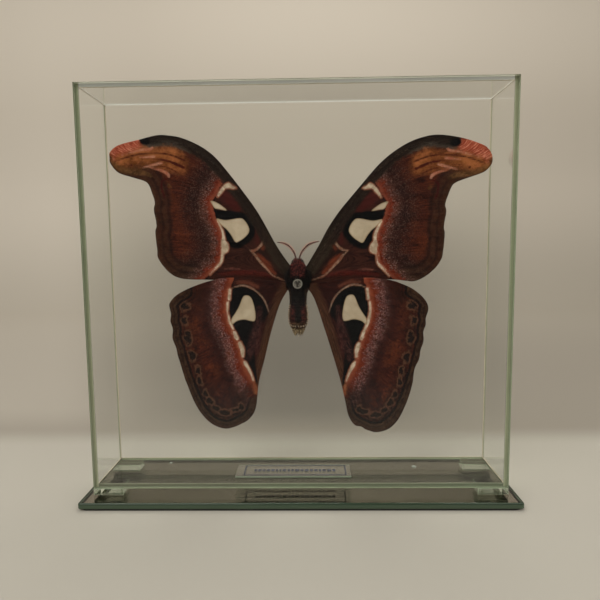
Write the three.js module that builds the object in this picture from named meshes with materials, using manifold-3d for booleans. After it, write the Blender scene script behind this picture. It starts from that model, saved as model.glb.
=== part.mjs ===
// A spread silk moth held in a closed glass case, which stands on four glass blocks on a dark mirror base.
// Millimetres, +Z up, +X to the viewer's right, front towards -Y. The origin is the middle of the underside.
import * as THREE from 'three';
import { mergeVertices } from 'three/addons/utils/BufferGeometryUtils.js';
import Module from 'manifold-3d';

const wasm = await Module();
wasm.setup();

// Driving dimensions of the base
const BASE_WIDTH = 209;
const BASE_DEPTH = 52;
const BASE_CORNER_RADIUS = 4.5;
const BASE_GLASS = 3;
const BASE_BEVEL = 0.5;
const BACKING_THICKNESS = 0.7;
const BACKING_INSET = 0.8;
const GLUE = 0.1;

// Driving dimensions of the case
const CASE_WIDTH = 200;
const CASE_DEPTH = 35;
const CASE_HEIGHT = 190.5;
const PANE = 2;
const BLOCK_WIDTH = 14.5;
const BLOCK_DEPTH = 9;
const BLOCK_HEIGHT = 3.2;
const BLOCK_BEVEL = 0.3;

// Driving dimensions of the label and the stud that holds the moth
const LABEL = { width: 57.5, depth: 13.8, thickness: 0.8, x: -3.2, y: -3 };
const LABEL_CORNER_RADIUS = 0.6;
const STUD_RADIUS = 2.6;
const STUD_SIDES = 24;
const STUD_BEVEL = 0.35;

// Driving dimensions of the moth, measured from the middle of its thorax
const THORAX_CENTRE_HEIGHT = 104.8;
const WING_THICKNESS = 0.6;
const WING_ROOT = 5.9;
const WING_CELL = 4.5;
const FOREWING_SET_BACK = 0.9;
const HINDWING_SET_BACK = -0.9;
const WING_CAMBER = 0.9;
const APEX_BEND = 1.4;
const HALF_SPAN = 94;
const BODY_FLATNESS = 0.94;
const BODY_SIDES = 16;
const PIECE_GAP = 0.3;

// Heights worked out from the sizes above
const BASE_GLASS_BOTTOM = BACKING_THICKNESS + GLUE;
const BASE_TOP = BASE_GLASS_BOTTOM + BASE_GLASS;
const BLOCK_BOTTOM = BASE_TOP + GLUE;
const CASE_BOTTOM = BLOCK_BOTTOM + BLOCK_HEIGHT + GLUE;
const CASE_TOP = CASE_BOTTOM + CASE_HEIGHT;
const FLOOR_TOP = CASE_BOTTOM + PANE;
const FRONT_INSIDE = -CASE_DEPTH / 2 + PANE;

// The outline of each wing as spread on this specimen, from the costal root round to the hind root
const LEFT_FOREWING = [
  [-3.4, 8.4], [-10.2, 18.4], [-18.9, 34.3], [-26.9, 45.9], [-36.9, 58.8], [-42.2, 64.2], [-48.3, 68.2],
  [-55.7, 71.4], [-61.7, 72.6], [-67.9, 72.9], [-76.9, 70.7], [-86.6, 68.1], [-90.6, 64.9], [-91.1, 62.2],
  [-90.8, 59.5], [-87.2, 55.1], [-79.7, 52.5], [-73.6, 50.2], [-71.1, 44.4], [-70.2, 40.3], [-70.7, 36.9],
  [-69.7, 29.4], [-70.5, 26], [-69.9, 17.7], [-69.8, 14.2], [-68.2, 10.8], [-65.5, 7.3], [-62.1, 4.4],
  [-58, 2.9], [-53.1, 2.4], [-44.6, 2.2], [-30, 1.6], [-18, 0.6], [-3.4, -0.9],
];
const RIGHT_FOREWING = [
  [3.4, 7], [10.2, 18.2], [15.1, 27.1], [20.6, 35.1], [26.8, 42.5], [37.7, 55.1], [43, 60.3], [49.1, 64.8],
  [55.8, 68.4], [63.1, 70.6], [69.8, 71.1], [79.9, 69.3], [89.3, 65.9], [92, 63.9], [93.8, 60.9], [94.1, 57.6],
  [92.6, 55], [89.6, 52.7], [81, 49.8], [77, 48.2], [75, 45.9], [72.4, 38.5], [72.8, 34.5], [71.8, 27.1],
  [72.3, 23.6], [71.7, 15.5], [71.1, 12.1], [68.8, 8], [65.4, 4.6], [61.3, 1.8], [57.2, 0.4], [53.1, 0.8],
  [45.4, 1.5], [30, 1], [18, 0.2], [3.4, -1.1],
];
const LEFT_HINDWING = [
  [-3.4, 0.4], [-14, 1.7], [-21.6, 2.6], [-29, 3.2], [-37, 3.1], [-44.9, 1.4], [-50.7, -0.5], [-56.6, -3],
  [-60.7, -5.5], [-63.4, -8.4], [-64, -10.7], [-63.3, -14.8], [-63.7, -18.2], [-62.7, -22.3], [-62.9, -27],
  [-61.3, -31.7], [-60, -37.6], [-56.9, -48.8], [-53.1, -59], [-50.3, -64.4], [-46.9, -68.7], [-42.9, -71.7],
  [-38.8, -73.1], [-34.7, -73], [-27.5, -69.9], [-24.6, -67.5], [-22.7, -64.6], [-21.5, -60.3], [-20.1, -49],
  [-17, -37.3], [-13.9, -25], [-10.3, -13.4], [-7.9, -7.7], [-3.4, -0.6],
];
const RIGHT_HINDWING = [
  [3.4, -0.2], [14, 0.9], [21.6, 1.9], [29, 2.5], [37, 2.6], [46, 1.2], [51, -0.5], [55.6, -2.6], [59.6, -5.5],
  [62.5, -8.6], [63.9, -11.5], [64, -14.1], [62.9, -17.5], [62.9, -21], [61.8, -24.5], [61.9, -29.1],
  [60.5, -33.7], [59.7, -38.4], [57.7, -43], [56.4, -51.9], [53.6, -60.7], [50.4, -67.9], [47.6, -71.5],
  [44.7, -73.9], [41.2, -75.2], [37.7, -75.4], [33.6, -74.1], [31.3, -72.6], [28.4, -72], [26.1, -69.6],
  [24.3, -65.4], [23.4, -60.6], [20.9, -49.3], [17.2, -36.3], [12.9, -22.3], [7.9, -7.3], [3.4, -0.8],
];
const POINTS_PER_SPAN = 2;

// Half width of the body at each height, from the crown of the head to the tip of the abdomen
const BODY_PROFILE = [
  [0, 12.4], [1.5, 12.1], [2.7, 11], [3.3, 9.6], [3.4, 8.6], [4.4, 7.8], [5.2, 6.2], [5.45, 3.2], [5.3, 0.4],
  [4.8, -1.4], [4, -2.6], [3.85, -6], [3.7, -9.4], [4.2, -11.8], [4.7, -14.2], [4.55, -18], [3.7, -22],
  [2.7, -24.4], [0, -26.4],
];

// Each antenna's shaft from the head to its tip, as height above the thorax over distance from the middle
const ANTENNA_SHAFT = [[0.9, 12.8], [2.3, 16.2], [4.6, 18.8], [7.2, 20], [9.9, 20.4]];
const ANTENNA_TEETH = 14;
const ANTENNA_COMB = 1.25;
const ANTENNA_SHAFT_HALF = 0.28;
const ANTENNA_THICKNESS = 0.5;
const ANTENNA_Y = -1.3;

// Folded legs under the thorax: hip, knee and foot of the left leg of each pair, from the thorax's middle
const LEGS = [
  [[-2, 3.6, 5.6], [-5, 6.4, 8.6], [-2.6, 7.4, 2.4]],
  [[-2.2, 3.9, 2.4], [-5.8, 6.6, 4.2], [-3, 7.8, -3.2]],
  [[-2.2, 3.7, -0.6], [-5.6, 6.2, -1.4], [-2.4, 6.9, -9.6]],
];
const LEG_RADII = [0.75, 0.6, 0.4];
const LEG_SIDES = 6;
const EYE = { x: 2.3, y: -0.6, z: 10.6, radius: 1.25 };

// Materials, with colours as seen in daylight
const GLASS_CLEAR = new THREE.MeshStandardMaterial({ color: 0xcfe0d4, roughness: 0.02, metalness: 0 });
const GLASS_MIRROR = new THREE.MeshStandardMaterial({ color: 0x5f584c, roughness: 0.05, metalness: 0.6 });
const BACKING_DARK = new THREE.MeshStandardMaterial({ color: 0x101110, roughness: 0.9, metalness: 0 });
const FILM_CLEAR = new THREE.MeshStandardMaterial({ color: 0xb8c0b8, roughness: 0.15, metalness: 0 });
const WING_SCALES = new THREE.MeshStandardMaterial({ color: 0x4a211a, roughness: 0.85, metalness: 0 });
const BODY_FUR = new THREE.MeshStandardMaterial({ color: 0x2f1512, roughness: 0.95, metalness: 0 });
const ANTENNA_HORN = new THREE.MeshStandardMaterial({ color: 0x5a2c22, roughness: 0.8, metalness: 0 });

const model = new THREE.Group();
const moth = new THREE.Group();
moth.position.z = THORAX_CENTRE_HEIGHT;
model.add(moth);

function addMesh(parent, name, geometry, material, x = 0, y = 0, z = 0) {
  const mesh = new THREE.Mesh(geometry, material);
  mesh.name = name;
  mesh.position.set(x, y, z);
  parent.add(mesh);
  return mesh;
}

// A closed mesh as a solid that can be joined and cut
function solidOf(geometry) {
  const bare = geometry.clone();
  bare.deleteAttribute('normal');
  bare.deleteAttribute('uv');
  const merged = mergeVertices(bare);
  const vertProperties = new Float32Array(merged.attributes.position.array);
  const triVerts = new Uint32Array(merged.index.array);
  return new wasm.Manifold(new wasm.Mesh({ numProp: 3, vertProperties, triVerts }));
}

function geometryOf(solid) {
  const mesh = solid.getMesh();
  const geometry = new THREE.BufferGeometry();
  geometry.setAttribute('position', new THREE.BufferAttribute(mesh.vertProperties, 3));
  geometry.setIndex(new THREE.BufferAttribute(mesh.triVerts, 1));
  geometry.computeVertexNormals();
  return geometry;
}

function roundedRectangle(width, depth, radius) {
  const x = width / 2;
  const y = depth / 2;
  const shape = new THREE.Shape();
  shape.moveTo(-x + radius, -y);
  shape.lineTo(x - radius, -y);
  shape.absarc(x - radius, -y + radius, radius, -Math.PI / 2, 0);
  shape.lineTo(x, y - radius);
  shape.absarc(x - radius, y - radius, radius, 0, Math.PI / 2);
  shape.lineTo(-x + radius, y);
  shape.absarc(-x + radius, y - radius, radius, Math.PI / 2, Math.PI);
  shape.lineTo(-x, -y + radius);
  shape.absarc(-x + radius, -y + radius, radius, Math.PI, Math.PI * 1.5);
  return shape;
}

// A flat plate lying on z = 0, with rounded corners and its upper and lower edges bevelled
function plate(width, depth, thickness, radius, bevel, curveSegments = 6) {
  const shape = roundedRectangle(width - 2 * bevel, depth - 2 * bevel, radius - bevel);
  const geometry = new THREE.ExtrudeGeometry(shape, {
    depth: thickness - 2 * bevel,
    bevelEnabled: bevel > 0,
    bevelThickness: bevel,
    bevelSize: bevel,
    bevelSegments: 1,
    curveSegments,
  });
  geometry.translate(0, 0, bevel);
  return geometry;
}

// Base: a dark backing under a thick glass mirror with rounded corners
function addBase() {
  const backingWidth = BASE_WIDTH - 2 * BACKING_INSET;
  const backingDepth = BASE_DEPTH - 2 * BACKING_INSET;
  const backingRadius = BASE_CORNER_RADIUS - BACKING_INSET;
  const backing = plate(backingWidth, backingDepth, BACKING_THICKNESS, backingRadius, 0);
  addMesh(model, 'base_backing', backing, BACKING_DARK);
  const mirror = plate(BASE_WIDTH, BASE_DEPTH, BASE_GLASS, BASE_CORNER_RADIUS, BASE_BEVEL);
  addMesh(model, 'base_plate', mirror, GLASS_MIRROR, 0, 0, BASE_GLASS_BOTTOM);
}

// Four clear blocks, one under each corner of the case
function addBlocks() {
  const x = CASE_WIDTH / 2 - BLOCK_WIDTH / 2;
  const y = CASE_DEPTH / 2 - BLOCK_DEPTH / 2;
  const places = [
    ['front_left', -x, -y],
    ['front_right', x, -y],
    ['rear_left', -x, y],
    ['rear_right', x, y],
  ];
  for (const [corner, blockX, blockY] of places) {
    const block = plate(BLOCK_WIDTH, BLOCK_DEPTH, BLOCK_HEIGHT, 2 * BLOCK_BEVEL, BLOCK_BEVEL, 1);
    addMesh(model, `corner_block_${corner}`, block, GLASS_CLEAR, blockX, blockY, BLOCK_BOTTOM);
  }
}

// Six sheets: the front and back stand over the edges of the sides, and the top and floor lie between them
function addCase() {
  const sideDepth = CASE_DEPTH - 2 * (PANE + GLUE);
  const innerWidth = CASE_WIDTH - 2 * (PANE + GLUE);
  const middle = CASE_BOTTOM + CASE_HEIGHT / 2;
  const wallY = CASE_DEPTH / 2 - PANE / 2;
  const wallX = CASE_WIDTH / 2 - PANE / 2;
  const wall = new THREE.BoxGeometry(CASE_WIDTH, PANE, CASE_HEIGHT);
  const side = new THREE.BoxGeometry(PANE, sideDepth, CASE_HEIGHT);
  const lid = new THREE.BoxGeometry(innerWidth, sideDepth, PANE);
  addMesh(model, 'case_front', wall, GLASS_CLEAR, 0, -wallY, middle);
  addMesh(model, 'case_back', wall, GLASS_CLEAR, 0, wallY, middle);
  addMesh(model, 'case_left', side, GLASS_CLEAR, -wallX, 0, middle);
  addMesh(model, 'case_right', side, GLASS_CLEAR, wallX, 0, middle);
  addMesh(model, 'case_top', lid, GLASS_CLEAR, 0, 0, CASE_TOP - PANE / 2);
  addMesh(model, 'case_floor', lid, GLASS_CLEAR, 0, 0, CASE_BOTTOM + PANE / 2);
}

// A small clear plate that carries the printed label, flat on the floor of the case
function addLabel() {
  const labelPlate = plate(LABEL.width, LABEL.depth, LABEL.thickness, LABEL_CORNER_RADIUS, 0, 2);
  addMesh(model, 'label', labelPlate, FILM_CLEAR, LABEL.x, LABEL.y, FLOOR_TOP + GLUE);
}

// A clear round stud from the inside of the front sheet to the moth's back
function addStud(thoraxFront) {
  const front = FRONT_INSIDE + GLUE;
  const length = thoraxFront - PIECE_GAP - front;
  const profile = [
    new THREE.Vector2(0, 0),
    new THREE.Vector2(STUD_RADIUS - STUD_BEVEL, 0),
    new THREE.Vector2(STUD_RADIUS, STUD_BEVEL),
    new THREE.Vector2(STUD_RADIUS, length - STUD_BEVEL),
    new THREE.Vector2(STUD_RADIUS - STUD_BEVEL, length),
    new THREE.Vector2(0, length),
  ];
  const stud = new THREE.LatheGeometry(profile, STUD_SIDES);
  addMesh(moth, 'mounting_stud', stud, GLASS_CLEAR, 0, front, 0);
}

// A tapered limb between two points, as a solid
function limb(from, to, startRadius, endRadius) {
  const start = new THREE.Vector3(...from);
  const end = new THREE.Vector3(...to);
  const along = end.clone().sub(start);
  const geometry = new THREE.CylinderGeometry(endRadius, startRadius, along.length(), LEG_SIDES);
  const up = new THREE.Vector3(0, 1, 0);
  const turn = new THREE.Quaternion().setFromUnitVectors(up, along.clone().normalize());
  geometry.applyQuaternion(turn);
  geometry.translate((start.x + end.x) / 2, (start.y + end.y) / 2, (start.z + end.z) / 2);
  return solidOf(geometry);
}

// Head, thorax and abdomen in one, with the eyes and the folded legs that grow from them
function addBody() {
  const profile = BODY_PROFILE.map(([radius, height]) => new THREE.Vector2(radius, height)).reverse();
  const trunk = new THREE.LatheGeometry(profile, BODY_SIDES);
  trunk.rotateX(Math.PI / 2);
  trunk.scale(1, BODY_FLATNESS, 1);
  let solid = solidOf(trunk);
  for (const side of [-1, 1]) {
    const eye = new THREE.SphereGeometry(EYE.radius, 8, 6);
    eye.translate(side * EYE.x, EYE.y, EYE.z);
    solid = solid.add(solidOf(eye));
    for (const leg of LEGS) {
      const [hip, knee, foot] = leg.map(([x, y, z]) => [-side * x, y, z]);
      solid = solid.add(limb(hip, knee, LEG_RADII[0], LEG_RADII[1]));
      solid = solid.add(limb(knee, foot, LEG_RADII[1], LEG_RADII[2]));
    }
  }
  addMesh(moth, 'moth_body', geometryOf(solid), BODY_FUR);
}

// How far back a wing's middle layer lies, at a place measured from the middle of the thorax
function wingSetBack(x, z, base) {
  const reach = Math.min(Math.abs(x) / HALF_SPAN, 1);
  const camber = WING_CAMBER * Math.sin(Math.PI * reach);
  const apex = Math.max(0, reach - 0.72) * Math.max(0, z) / HALF_SPAN;
  return base * (1 + camber) - APEX_BEND * apex * 4;
}

// A thin wing: the outline cut out of a gently bowed sheet
function wing(outline, base) {
  const curve = new THREE.SplineCurve(outline.map(([x, z]) => new THREE.Vector2(x, z)));
  const points = curve.getPoints((outline.length - 1) * POINTS_PER_SPAN);
  const prism = new THREE.ExtrudeGeometry(new THREE.Shape(points), { depth: 20, bevelEnabled: false });
  prism.rotateX(Math.PI / 2);
  prism.translate(0, 10, 0);

  const side = Math.sign(outline[1][0]);
  const zs = outline.map(([, z]) => z);
  const top = Math.max(...zs) + 1;
  const bottom = Math.min(...zs) - 1;
  const width = HALF_SPAN + 1 - WING_ROOT;
  const columns = Math.round(width / WING_CELL);
  const rows = Math.round((top - bottom) / WING_CELL);
  const sheet = new THREE.BoxGeometry(width, WING_THICKNESS, top - bottom, columns, 1, rows);
  sheet.translate(side * (WING_ROOT + width / 2), 0, (top + bottom) / 2);
  const places = sheet.attributes.position;
  for (let i = 0; i < places.count; i += 1) {
    places.setY(i, places.getY(i) + wingSetBack(places.getX(i), places.getZ(i), base));
  }
  return geometryOf(solidOf(prism).intersect(solidOf(sheet)));
}

function addWings() {
  addMesh(moth, 'left_forewing', wing(LEFT_FOREWING, FOREWING_SET_BACK), WING_SCALES);
  addMesh(moth, 'right_forewing', wing(RIGHT_FOREWING, FOREWING_SET_BACK), WING_SCALES);
  addMesh(moth, 'left_hindwing', wing(LEFT_HINDWING, HINDWING_SET_BACK), WING_SCALES);
  addMesh(moth, 'right_hindwing', wing(RIGHT_HINDWING, HINDWING_SET_BACK), WING_SCALES);
}

// A comb of fine teeth on both sides of a curved shaft, longest at its middle
function antenna(side) {
  const curve = new THREE.SplineCurve(ANTENNA_SHAFT.map(([x, z]) => new THREE.Vector2(side * x, z)));
  const edges = [[], []];
  for (let i = 0; i <= 2 * ANTENNA_TEETH; i += 1) {
    const along = i / (2 * ANTENNA_TEETH);
    const place = curve.getPoint(along);
    const tangent = curve.getTangent(along);
    const across = new THREE.Vector2(-tangent.y, tangent.x);
    const tooth = i % 2 === 1 ? ANTENNA_COMB * Math.sin(Math.PI * along) : 0;
    const lean = tangent.clone().multiplyScalar(tooth * 0.4);
    const reach = ANTENNA_SHAFT_HALF * (1 - along / 2) + tooth;
    edges[0].push(place.clone().add(lean).addScaledVector(across, reach));
    edges[1].push(place.clone().add(lean).addScaledVector(across, -reach));
  }
  const shape = new THREE.Shape([...edges[0], ...edges[1].reverse()]);
  const blade = new THREE.ExtrudeGeometry(shape, { depth: ANTENNA_THICKNESS, bevelEnabled: false });
  blade.rotateX(Math.PI / 2);
  return blade;
}

addBase();
addBlocks();
addCase();
addLabel();
addBody();
addStud(-BODY_FLATNESS * 5.3);
addWings();
addMesh(moth, 'left_antenna', antenna(-1), ANTENNA_HORN, 0, ANTENNA_Y, 0);
addMesh(moth, 'right_antenna', antenna(1), ANTENNA_HORN, 0, ANTENNA_Y, 0);

export default model;
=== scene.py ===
# A spread silk moth in a clear glass case on a dark mirror base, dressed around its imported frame.
import math
import random

import bmesh
import bpy
import numpy as np
from mathutils import Matrix, Vector


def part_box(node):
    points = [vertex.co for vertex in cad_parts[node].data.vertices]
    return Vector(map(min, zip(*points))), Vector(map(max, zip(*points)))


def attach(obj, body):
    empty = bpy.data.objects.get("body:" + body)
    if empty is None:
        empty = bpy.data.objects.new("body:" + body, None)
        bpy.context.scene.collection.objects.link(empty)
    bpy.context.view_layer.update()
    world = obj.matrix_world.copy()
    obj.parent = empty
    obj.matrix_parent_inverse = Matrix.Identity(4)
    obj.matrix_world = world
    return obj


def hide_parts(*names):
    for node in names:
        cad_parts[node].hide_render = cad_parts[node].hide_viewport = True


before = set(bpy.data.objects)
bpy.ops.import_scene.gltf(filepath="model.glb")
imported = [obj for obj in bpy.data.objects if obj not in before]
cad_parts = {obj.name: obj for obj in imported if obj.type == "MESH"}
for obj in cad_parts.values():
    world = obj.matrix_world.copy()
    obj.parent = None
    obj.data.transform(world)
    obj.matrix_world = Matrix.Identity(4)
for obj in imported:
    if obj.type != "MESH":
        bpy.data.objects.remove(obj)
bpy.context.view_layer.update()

MM = 0.001
CASE_CENTRE = (Vector(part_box("case_floor")[0]) + Vector(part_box("case_top")[1])) / 2

# The photograph's camera, fitted to the corners of the case and base
PICTURE_SIDE = 600
FOCAL_PIXELS = 526.56
CAMERA_PLACE = Vector((6.29, -260.58, 122.83)) * MM
CAMERA_PITCH = math.radians(5.762)
CAMERA_YAW = math.radians(1.181)
CAMERA_ROLL = math.radians(0.628)

# The moth hangs from the middle of its thorax
THORAX_CENTRE = Vector((0, 0, 104.8)) * MM
WING_THICKNESS = 0.22
WING_CELL = 0.75
FOREWING_SET_BACK = 0.9
HINDWING_SET_BACK = -0.9
WING_CAMBER = 0.9
APEX_BEND = 1.4
HALF_SPAN = 94
BODY_FLATNESS = 0.94

# Wing outlines in millimetres from the middle of the thorax, as in the part's solids
LEFT_FOREWING = [
    (-3.4, 8.4), (-10.2, 18.4), (-18.9, 34.3), (-26.9, 45.9), (-36.9, 58.8), (-42.2, 64.2), (-48.3, 68.2),
    (-55.7, 71.4), (-61.7, 72.6), (-67.9, 72.9), (-76.9, 70.7), (-86.6, 68.1), (-90.6, 64.9), (-91.1, 62.2),
    (-90.8, 59.5), (-87.2, 55.1), (-79.7, 52.5), (-73.6, 50.2), (-71.1, 44.4), (-70.2, 40.3), (-70.7, 36.9),
    (-69.7, 29.4), (-70.5, 26), (-69.9, 17.7), (-69.8, 14.2), (-68.2, 10.8), (-65.5, 7.3), (-62.1, 4.4),
    (-58, 2.9), (-53.1, 2.4), (-44.6, 2.2), (-30, 1.6), (-18, 0.6), (-3.4, -0.9),
]
RIGHT_FOREWING = [
    (3.4, 7), (10.2, 18.2), (15.1, 27.1), (20.6, 35.1), (26.8, 42.5), (37.7, 55.1), (43, 60.3), (49.1, 64.8),
    (55.8, 68.4), (63.1, 70.6), (69.8, 71.1), (79.9, 69.3), (89.3, 65.9), (92, 63.9), (93.8, 60.9),
    (94.1, 57.6), (92.6, 55), (89.6, 52.7), (81, 49.8), (77, 48.2), (75, 45.9), (72.4, 38.5), (72.8, 34.5),
    (71.8, 27.1), (72.3, 23.6), (71.7, 15.5), (71.1, 12.1), (68.8, 8), (65.4, 4.6), (61.3, 1.8), (57.2, 0.4),
    (53.1, 0.8), (45.4, 1.5), (30, 1), (18, 0.2), (3.4, -1.1),
]
LEFT_HINDWING = [
    (-3.4, 0.4), (-14, 1.7), (-21.6, 2.6), (-29, 3.2), (-37, 3.1), (-44.9, 1.4), (-50.7, -0.5), (-56.6, -3),
    (-60.7, -5.5), (-63.4, -8.4), (-64, -10.7), (-63.3, -14.8), (-63.7, -18.2), (-62.7, -22.3),
    (-62.9, -27), (-61.3, -31.7), (-60, -37.6), (-56.9, -48.8), (-53.1, -59), (-50.3, -64.4),
    (-46.9, -68.7), (-42.9, -71.7), (-38.8, -73.1), (-34.7, -73), (-27.5, -69.9), (-24.6, -67.5),
    (-22.7, -64.6), (-21.5, -60.3), (-20.1, -49), (-17, -37.3), (-13.9, -25), (-10.3, -13.4),
    (-7.9, -7.7), (-3.4, -0.6),
]
RIGHT_HINDWING = [
    (3.4, -0.2), (14, 0.9), (21.6, 1.9), (29, 2.5), (37, 2.6), (46, 1.2), (51, -0.5), (55.6, -2.6),
    (59.6, -5.5), (62.5, -8.6), (63.9, -11.5), (64, -14.1), (62.9, -17.5), (62.9, -21), (61.8, -24.5),
    (61.9, -29.1), (60.5, -33.7), (59.7, -38.4), (57.7, -43), (56.4, -51.9), (53.6, -60.7), (50.4, -67.9),
    (47.6, -71.5), (44.7, -73.9), (41.2, -75.2), (37.7, -75.4), (33.6, -74.1), (31.3, -72.6), (28.4, -72),
    (26.1, -69.6), (24.3, -65.4), (23.4, -60.6), (20.9, -49.3), (17.2, -36.3), (12.9, -22.3), (7.9, -7.3),
    (3.4, -0.8),
]

# Places on a right wing and the same places on the left one, from which a right wing's marks are set out
FOREWING_PAIRS = [
    ((4.9, 9.3), (-4.1, 9.4)), ((37.7, 55.1), (-34.6, 56.1)), ((69.8, 71.1), (-67.9, 72.9)),
    ((94.1, 57.6), (-91.1, 62.2)), ((76, 47), (-73.6, 50.2)), ((71.7, 27.1), (-69.7, 29.4)),
    ((61.3, 1.8), (-60, 3.5)),
]
HINDWING_PAIRS = [
    ((6, -2.1), (-5.2, -1.1)), ((46, 1.4), (-44.9, 1.2)), ((63.9, -11.5), (-64, -10.7)),
    ((59.7, -38.4), (-60, -37.6)), ((52.4, -64.3), (-51.5, -62)), ((37.7, -75.4), (-36.8, -73.2)),
    ((24.3, -65.4), (-23, -65)), ((17.2, -36.3), (-17, -37.3)),
]

# Marks on the left forewing. A patch is a closed outline and a stroke is a line of points with half widths
FORE_WINDOW = [
    (-40.1, 32.6), (-35.3, 31.7), (-28.1, 32.6), (-25.5, 30.9), (-23.7, 27.4), (-24.1, 24.9), (-26.8, 22.2),
    (-30.2, 20.4), (-31.4, 21.2), (-32.8, 23.8), (-35, 26.8), (-36.9, 28.4), (-38.7, 30.2),
]
FORE_PATCHES = {
    "ring": [FORE_WINDOW],
    "window": [
        FORE_WINDOW,
        [(-42.9, 41.1), (-41.1, 41), (-38.1, 39.5), (-34.4, 36.5), (-34.8, 36), (-38.5, 36.8), (-40.8, 37.3),
         (-42.2, 39.6)],
    ],
    "white": [
        [(-36.2, 48), (-33.6, 49.9), (-31.8, 48.4), (-29.7, 47), (-31.4, 46.7), (-33.3, 47.1), (-35.5, 46.9)],
        [(-37.5, 20.9), (-35.2, 20.9), (-34.1, 18.2), (-34.5, 16.3), (-36.8, 14.8), (-37.8, 14.5)],
    ],
    "ochre": [
        [(-93, 65), (-86.6, 72), (-76.8, 70.3), (-71.1, 66.9), (-62.2, 68.2), (-56.5, 65.5), (-53.2, 62.6),
         (-52.8, 57.8), (-54.9, 54), (-60.8, 54.1), (-66.6, 56.1), (-75.4, 56.9), (-84.3, 55.9), (-93, 57)],
    ],
    "blush": [
        [(-93, 64.6), (-88.7, 70), (-81.7, 72), (-76.3, 72), (-75.5, 67.2), (-80, 65.3), (-86.9, 63.1),
         (-89.5, 60.2), (-93, 57)],
    ],
}
FORE_STROKES = {
    "white": [
        [(-36, 47.2, 0.8), (-37.8, 44.9, 0.7), (-39, 43, 0.4)],
        [(-39.6, 31.5, 0.5), (-38.2, 28.7, 0.5), (-37, 25.7, 0.6), (-36.6, 22.8, 0.7), (-36.8, 20, 0.9)],
        [(-37.5, 14.5, 0.6), (-38.1, 11.1, 0.55), (-40.8, 8.1, 0.5), (-44, 4.7, 0.3)],
    ],
    "hooked": [
        [(-16.6, 29.4, 0.1), (-16.9, 25.8, 0.45), (-16.6, 22.4, 0.6), (-17.9, 19.3, 0.6), (-20.9, 16.7, 0.5),
         (-23.6, 16.6, 0.2)],
        [(-23.2, 16.3, 0.15), (-20.9, 13.9, 0.5), (-18, 10.1, 0.65), (-14.2, 5.9, 0.4), (-11.3, 3.3, 0.3),
         (-6, 1.3, 0.3)],
    ],
    "orange": [
        [(-15.2, 24, 0.5), (-15, 20.4, 1.1), (-17.4, 17.4, 0.8)],
        [(-20, 14.6, 0.4), (-17.4, 12, 1.3), (-14.6, 8.2, 1.5), (-11.6, 5, 0.8)],
    ],
    "maroon": [
        [(-36.6, 44, 1.6), (-32, 41, 3.2), (-26.5, 36.2, 2.8), (-22.2, 30.5, 1.9), (-19.6, 25, 1.2),
         (-20, 20.6, 0.7)],
    ],
    "crimson": [[(-39, 5, 0.5), (-30, 5.6, 1.2), (-20, 5.2, 1.1), (-13, 3.6, 0.5)]],
    "gap": [[(-41.2, 36.4, 0.4), (-38, 35.2, 1.2), (-33.4, 34.9, 1.3), (-30.4, 35, 0.6)]],
    "soot": [[(-74.6, 70.4, 2), (-73.2, 69.9, 1.7), (-72, 69.6, 0.8)]],
    "dark_line": [
        [(-88.4, 60, 0.15), (-86.9, 61, 0.3), (-78.5, 63.6, 0.45), (-68.2, 64.3, 0.4), (-61.3, 63.3, 0.4),
         (-54.6, 60.6, 0.4)],
        [(-72.1, 61.5, 0.15), (-66.3, 61.2, 0.45), (-61.5, 60, 0.6), (-55.4, 57.2, 0.7)],
        [(-81, 58.6, 0.55), (-80.8, 58.7, 0.5)],
        [(-70, 58.2, 0.1), (-64, 57.6, 0.3), (-58.6, 55, 0.3)],
        [(-62.3, 52.4, 0.3), (-66, 51, 0.5), (-66.5, 47.5, 0.5), (-65.2, 43, 0.4)],
    ],
    "petal": [
        [(-83, 64, 0.15), (-79, 65.1, 0.45), (-75.7, 65.9, 0.5), (-71.5, 66.2, 0.6), (-70.3, 67, 0.5)],
        [(-76.7, 62.2, 0.2), (-69.6, 62.7, 0.6)],
        [(-75.4, 57.4, 0.2), (-73.4, 57.9, 0.4), (-68.4, 59.1, 0.6), (-66, 59.7, 0.5)],
        [(-71.5, 57.2, 0.1), (-66.5, 56, 0.5), (-63.4, 54.3, 0.75), (-62.8, 53, 0.5)],
        [(-84.9, 63.5, 0.45), (-84.7, 63.5, 0.4)],
    ],
    "olive": [
        [(-90.4, 60.6, 0.4), (-89, 59.4, 0.8), (-86.2, 57.4, 1.3), (-82.3, 55.9, 1.4), (-75.4, 54.9, 1.3),
         (-71.6, 53.4, 0.7)],
        [(-62.9, 48.9, 0.6), (-62.2, 47.9, 0.5)],
    ],
    "rose_streak": [[(-36.3, 7.5, 0.2), (-32.5, 7.7, 0.35), (-28.7, 7.4, 0.2)]],
    "vein": [
        [(-6, 7, 0.5), (-20, 31, 0.45), (-37, 55, 0.4), (-56, 68, 0.3), (-74, 70, 0.2)],
        [(-6, 6, 0.5), (-18, 25, 0.4), (-30, 41, 0.3), (-37, 50, 0.25), (-52, 62, 0.2), (-72, 66, 0.15)],
        [(-33, 45.5, 0.25), (-48, 56, 0.2), (-66, 60.5, 0.15), (-88, 59, 0.1)],
        [(-31, 41, 0.25), (-48, 49, 0.2), (-64, 54.6, 0.15), (-80, 53, 0.1)],
        [(-29, 38, 0.2), (-46, 42.5, 0.2), (-58, 45, 0.15), (-71, 45.5, 0.1)],
        [(-29.5, 34, 0.2), (-48, 35, 0.2), (-70.5, 35.5, 0.1)],
        [(-6, 3, 0.4), (-17, 11, 0.35), (-26, 18, 0.3), (-31, 26, 0.2), (-30, 34, 0.2)],
        [(-28, 20, 0.25), (-48, 23.5, 0.2), (-70, 25, 0.1)],
        [(-24, 15.5, 0.25), (-44, 14.6, 0.2), (-69.5, 14.5, 0.1)],
        [(-6, 1.5, 0.35), (-24, 6, 0.3), (-44, 6.4, 0.2), (-64, 6.4, 0.1)],
    ],
}
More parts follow.
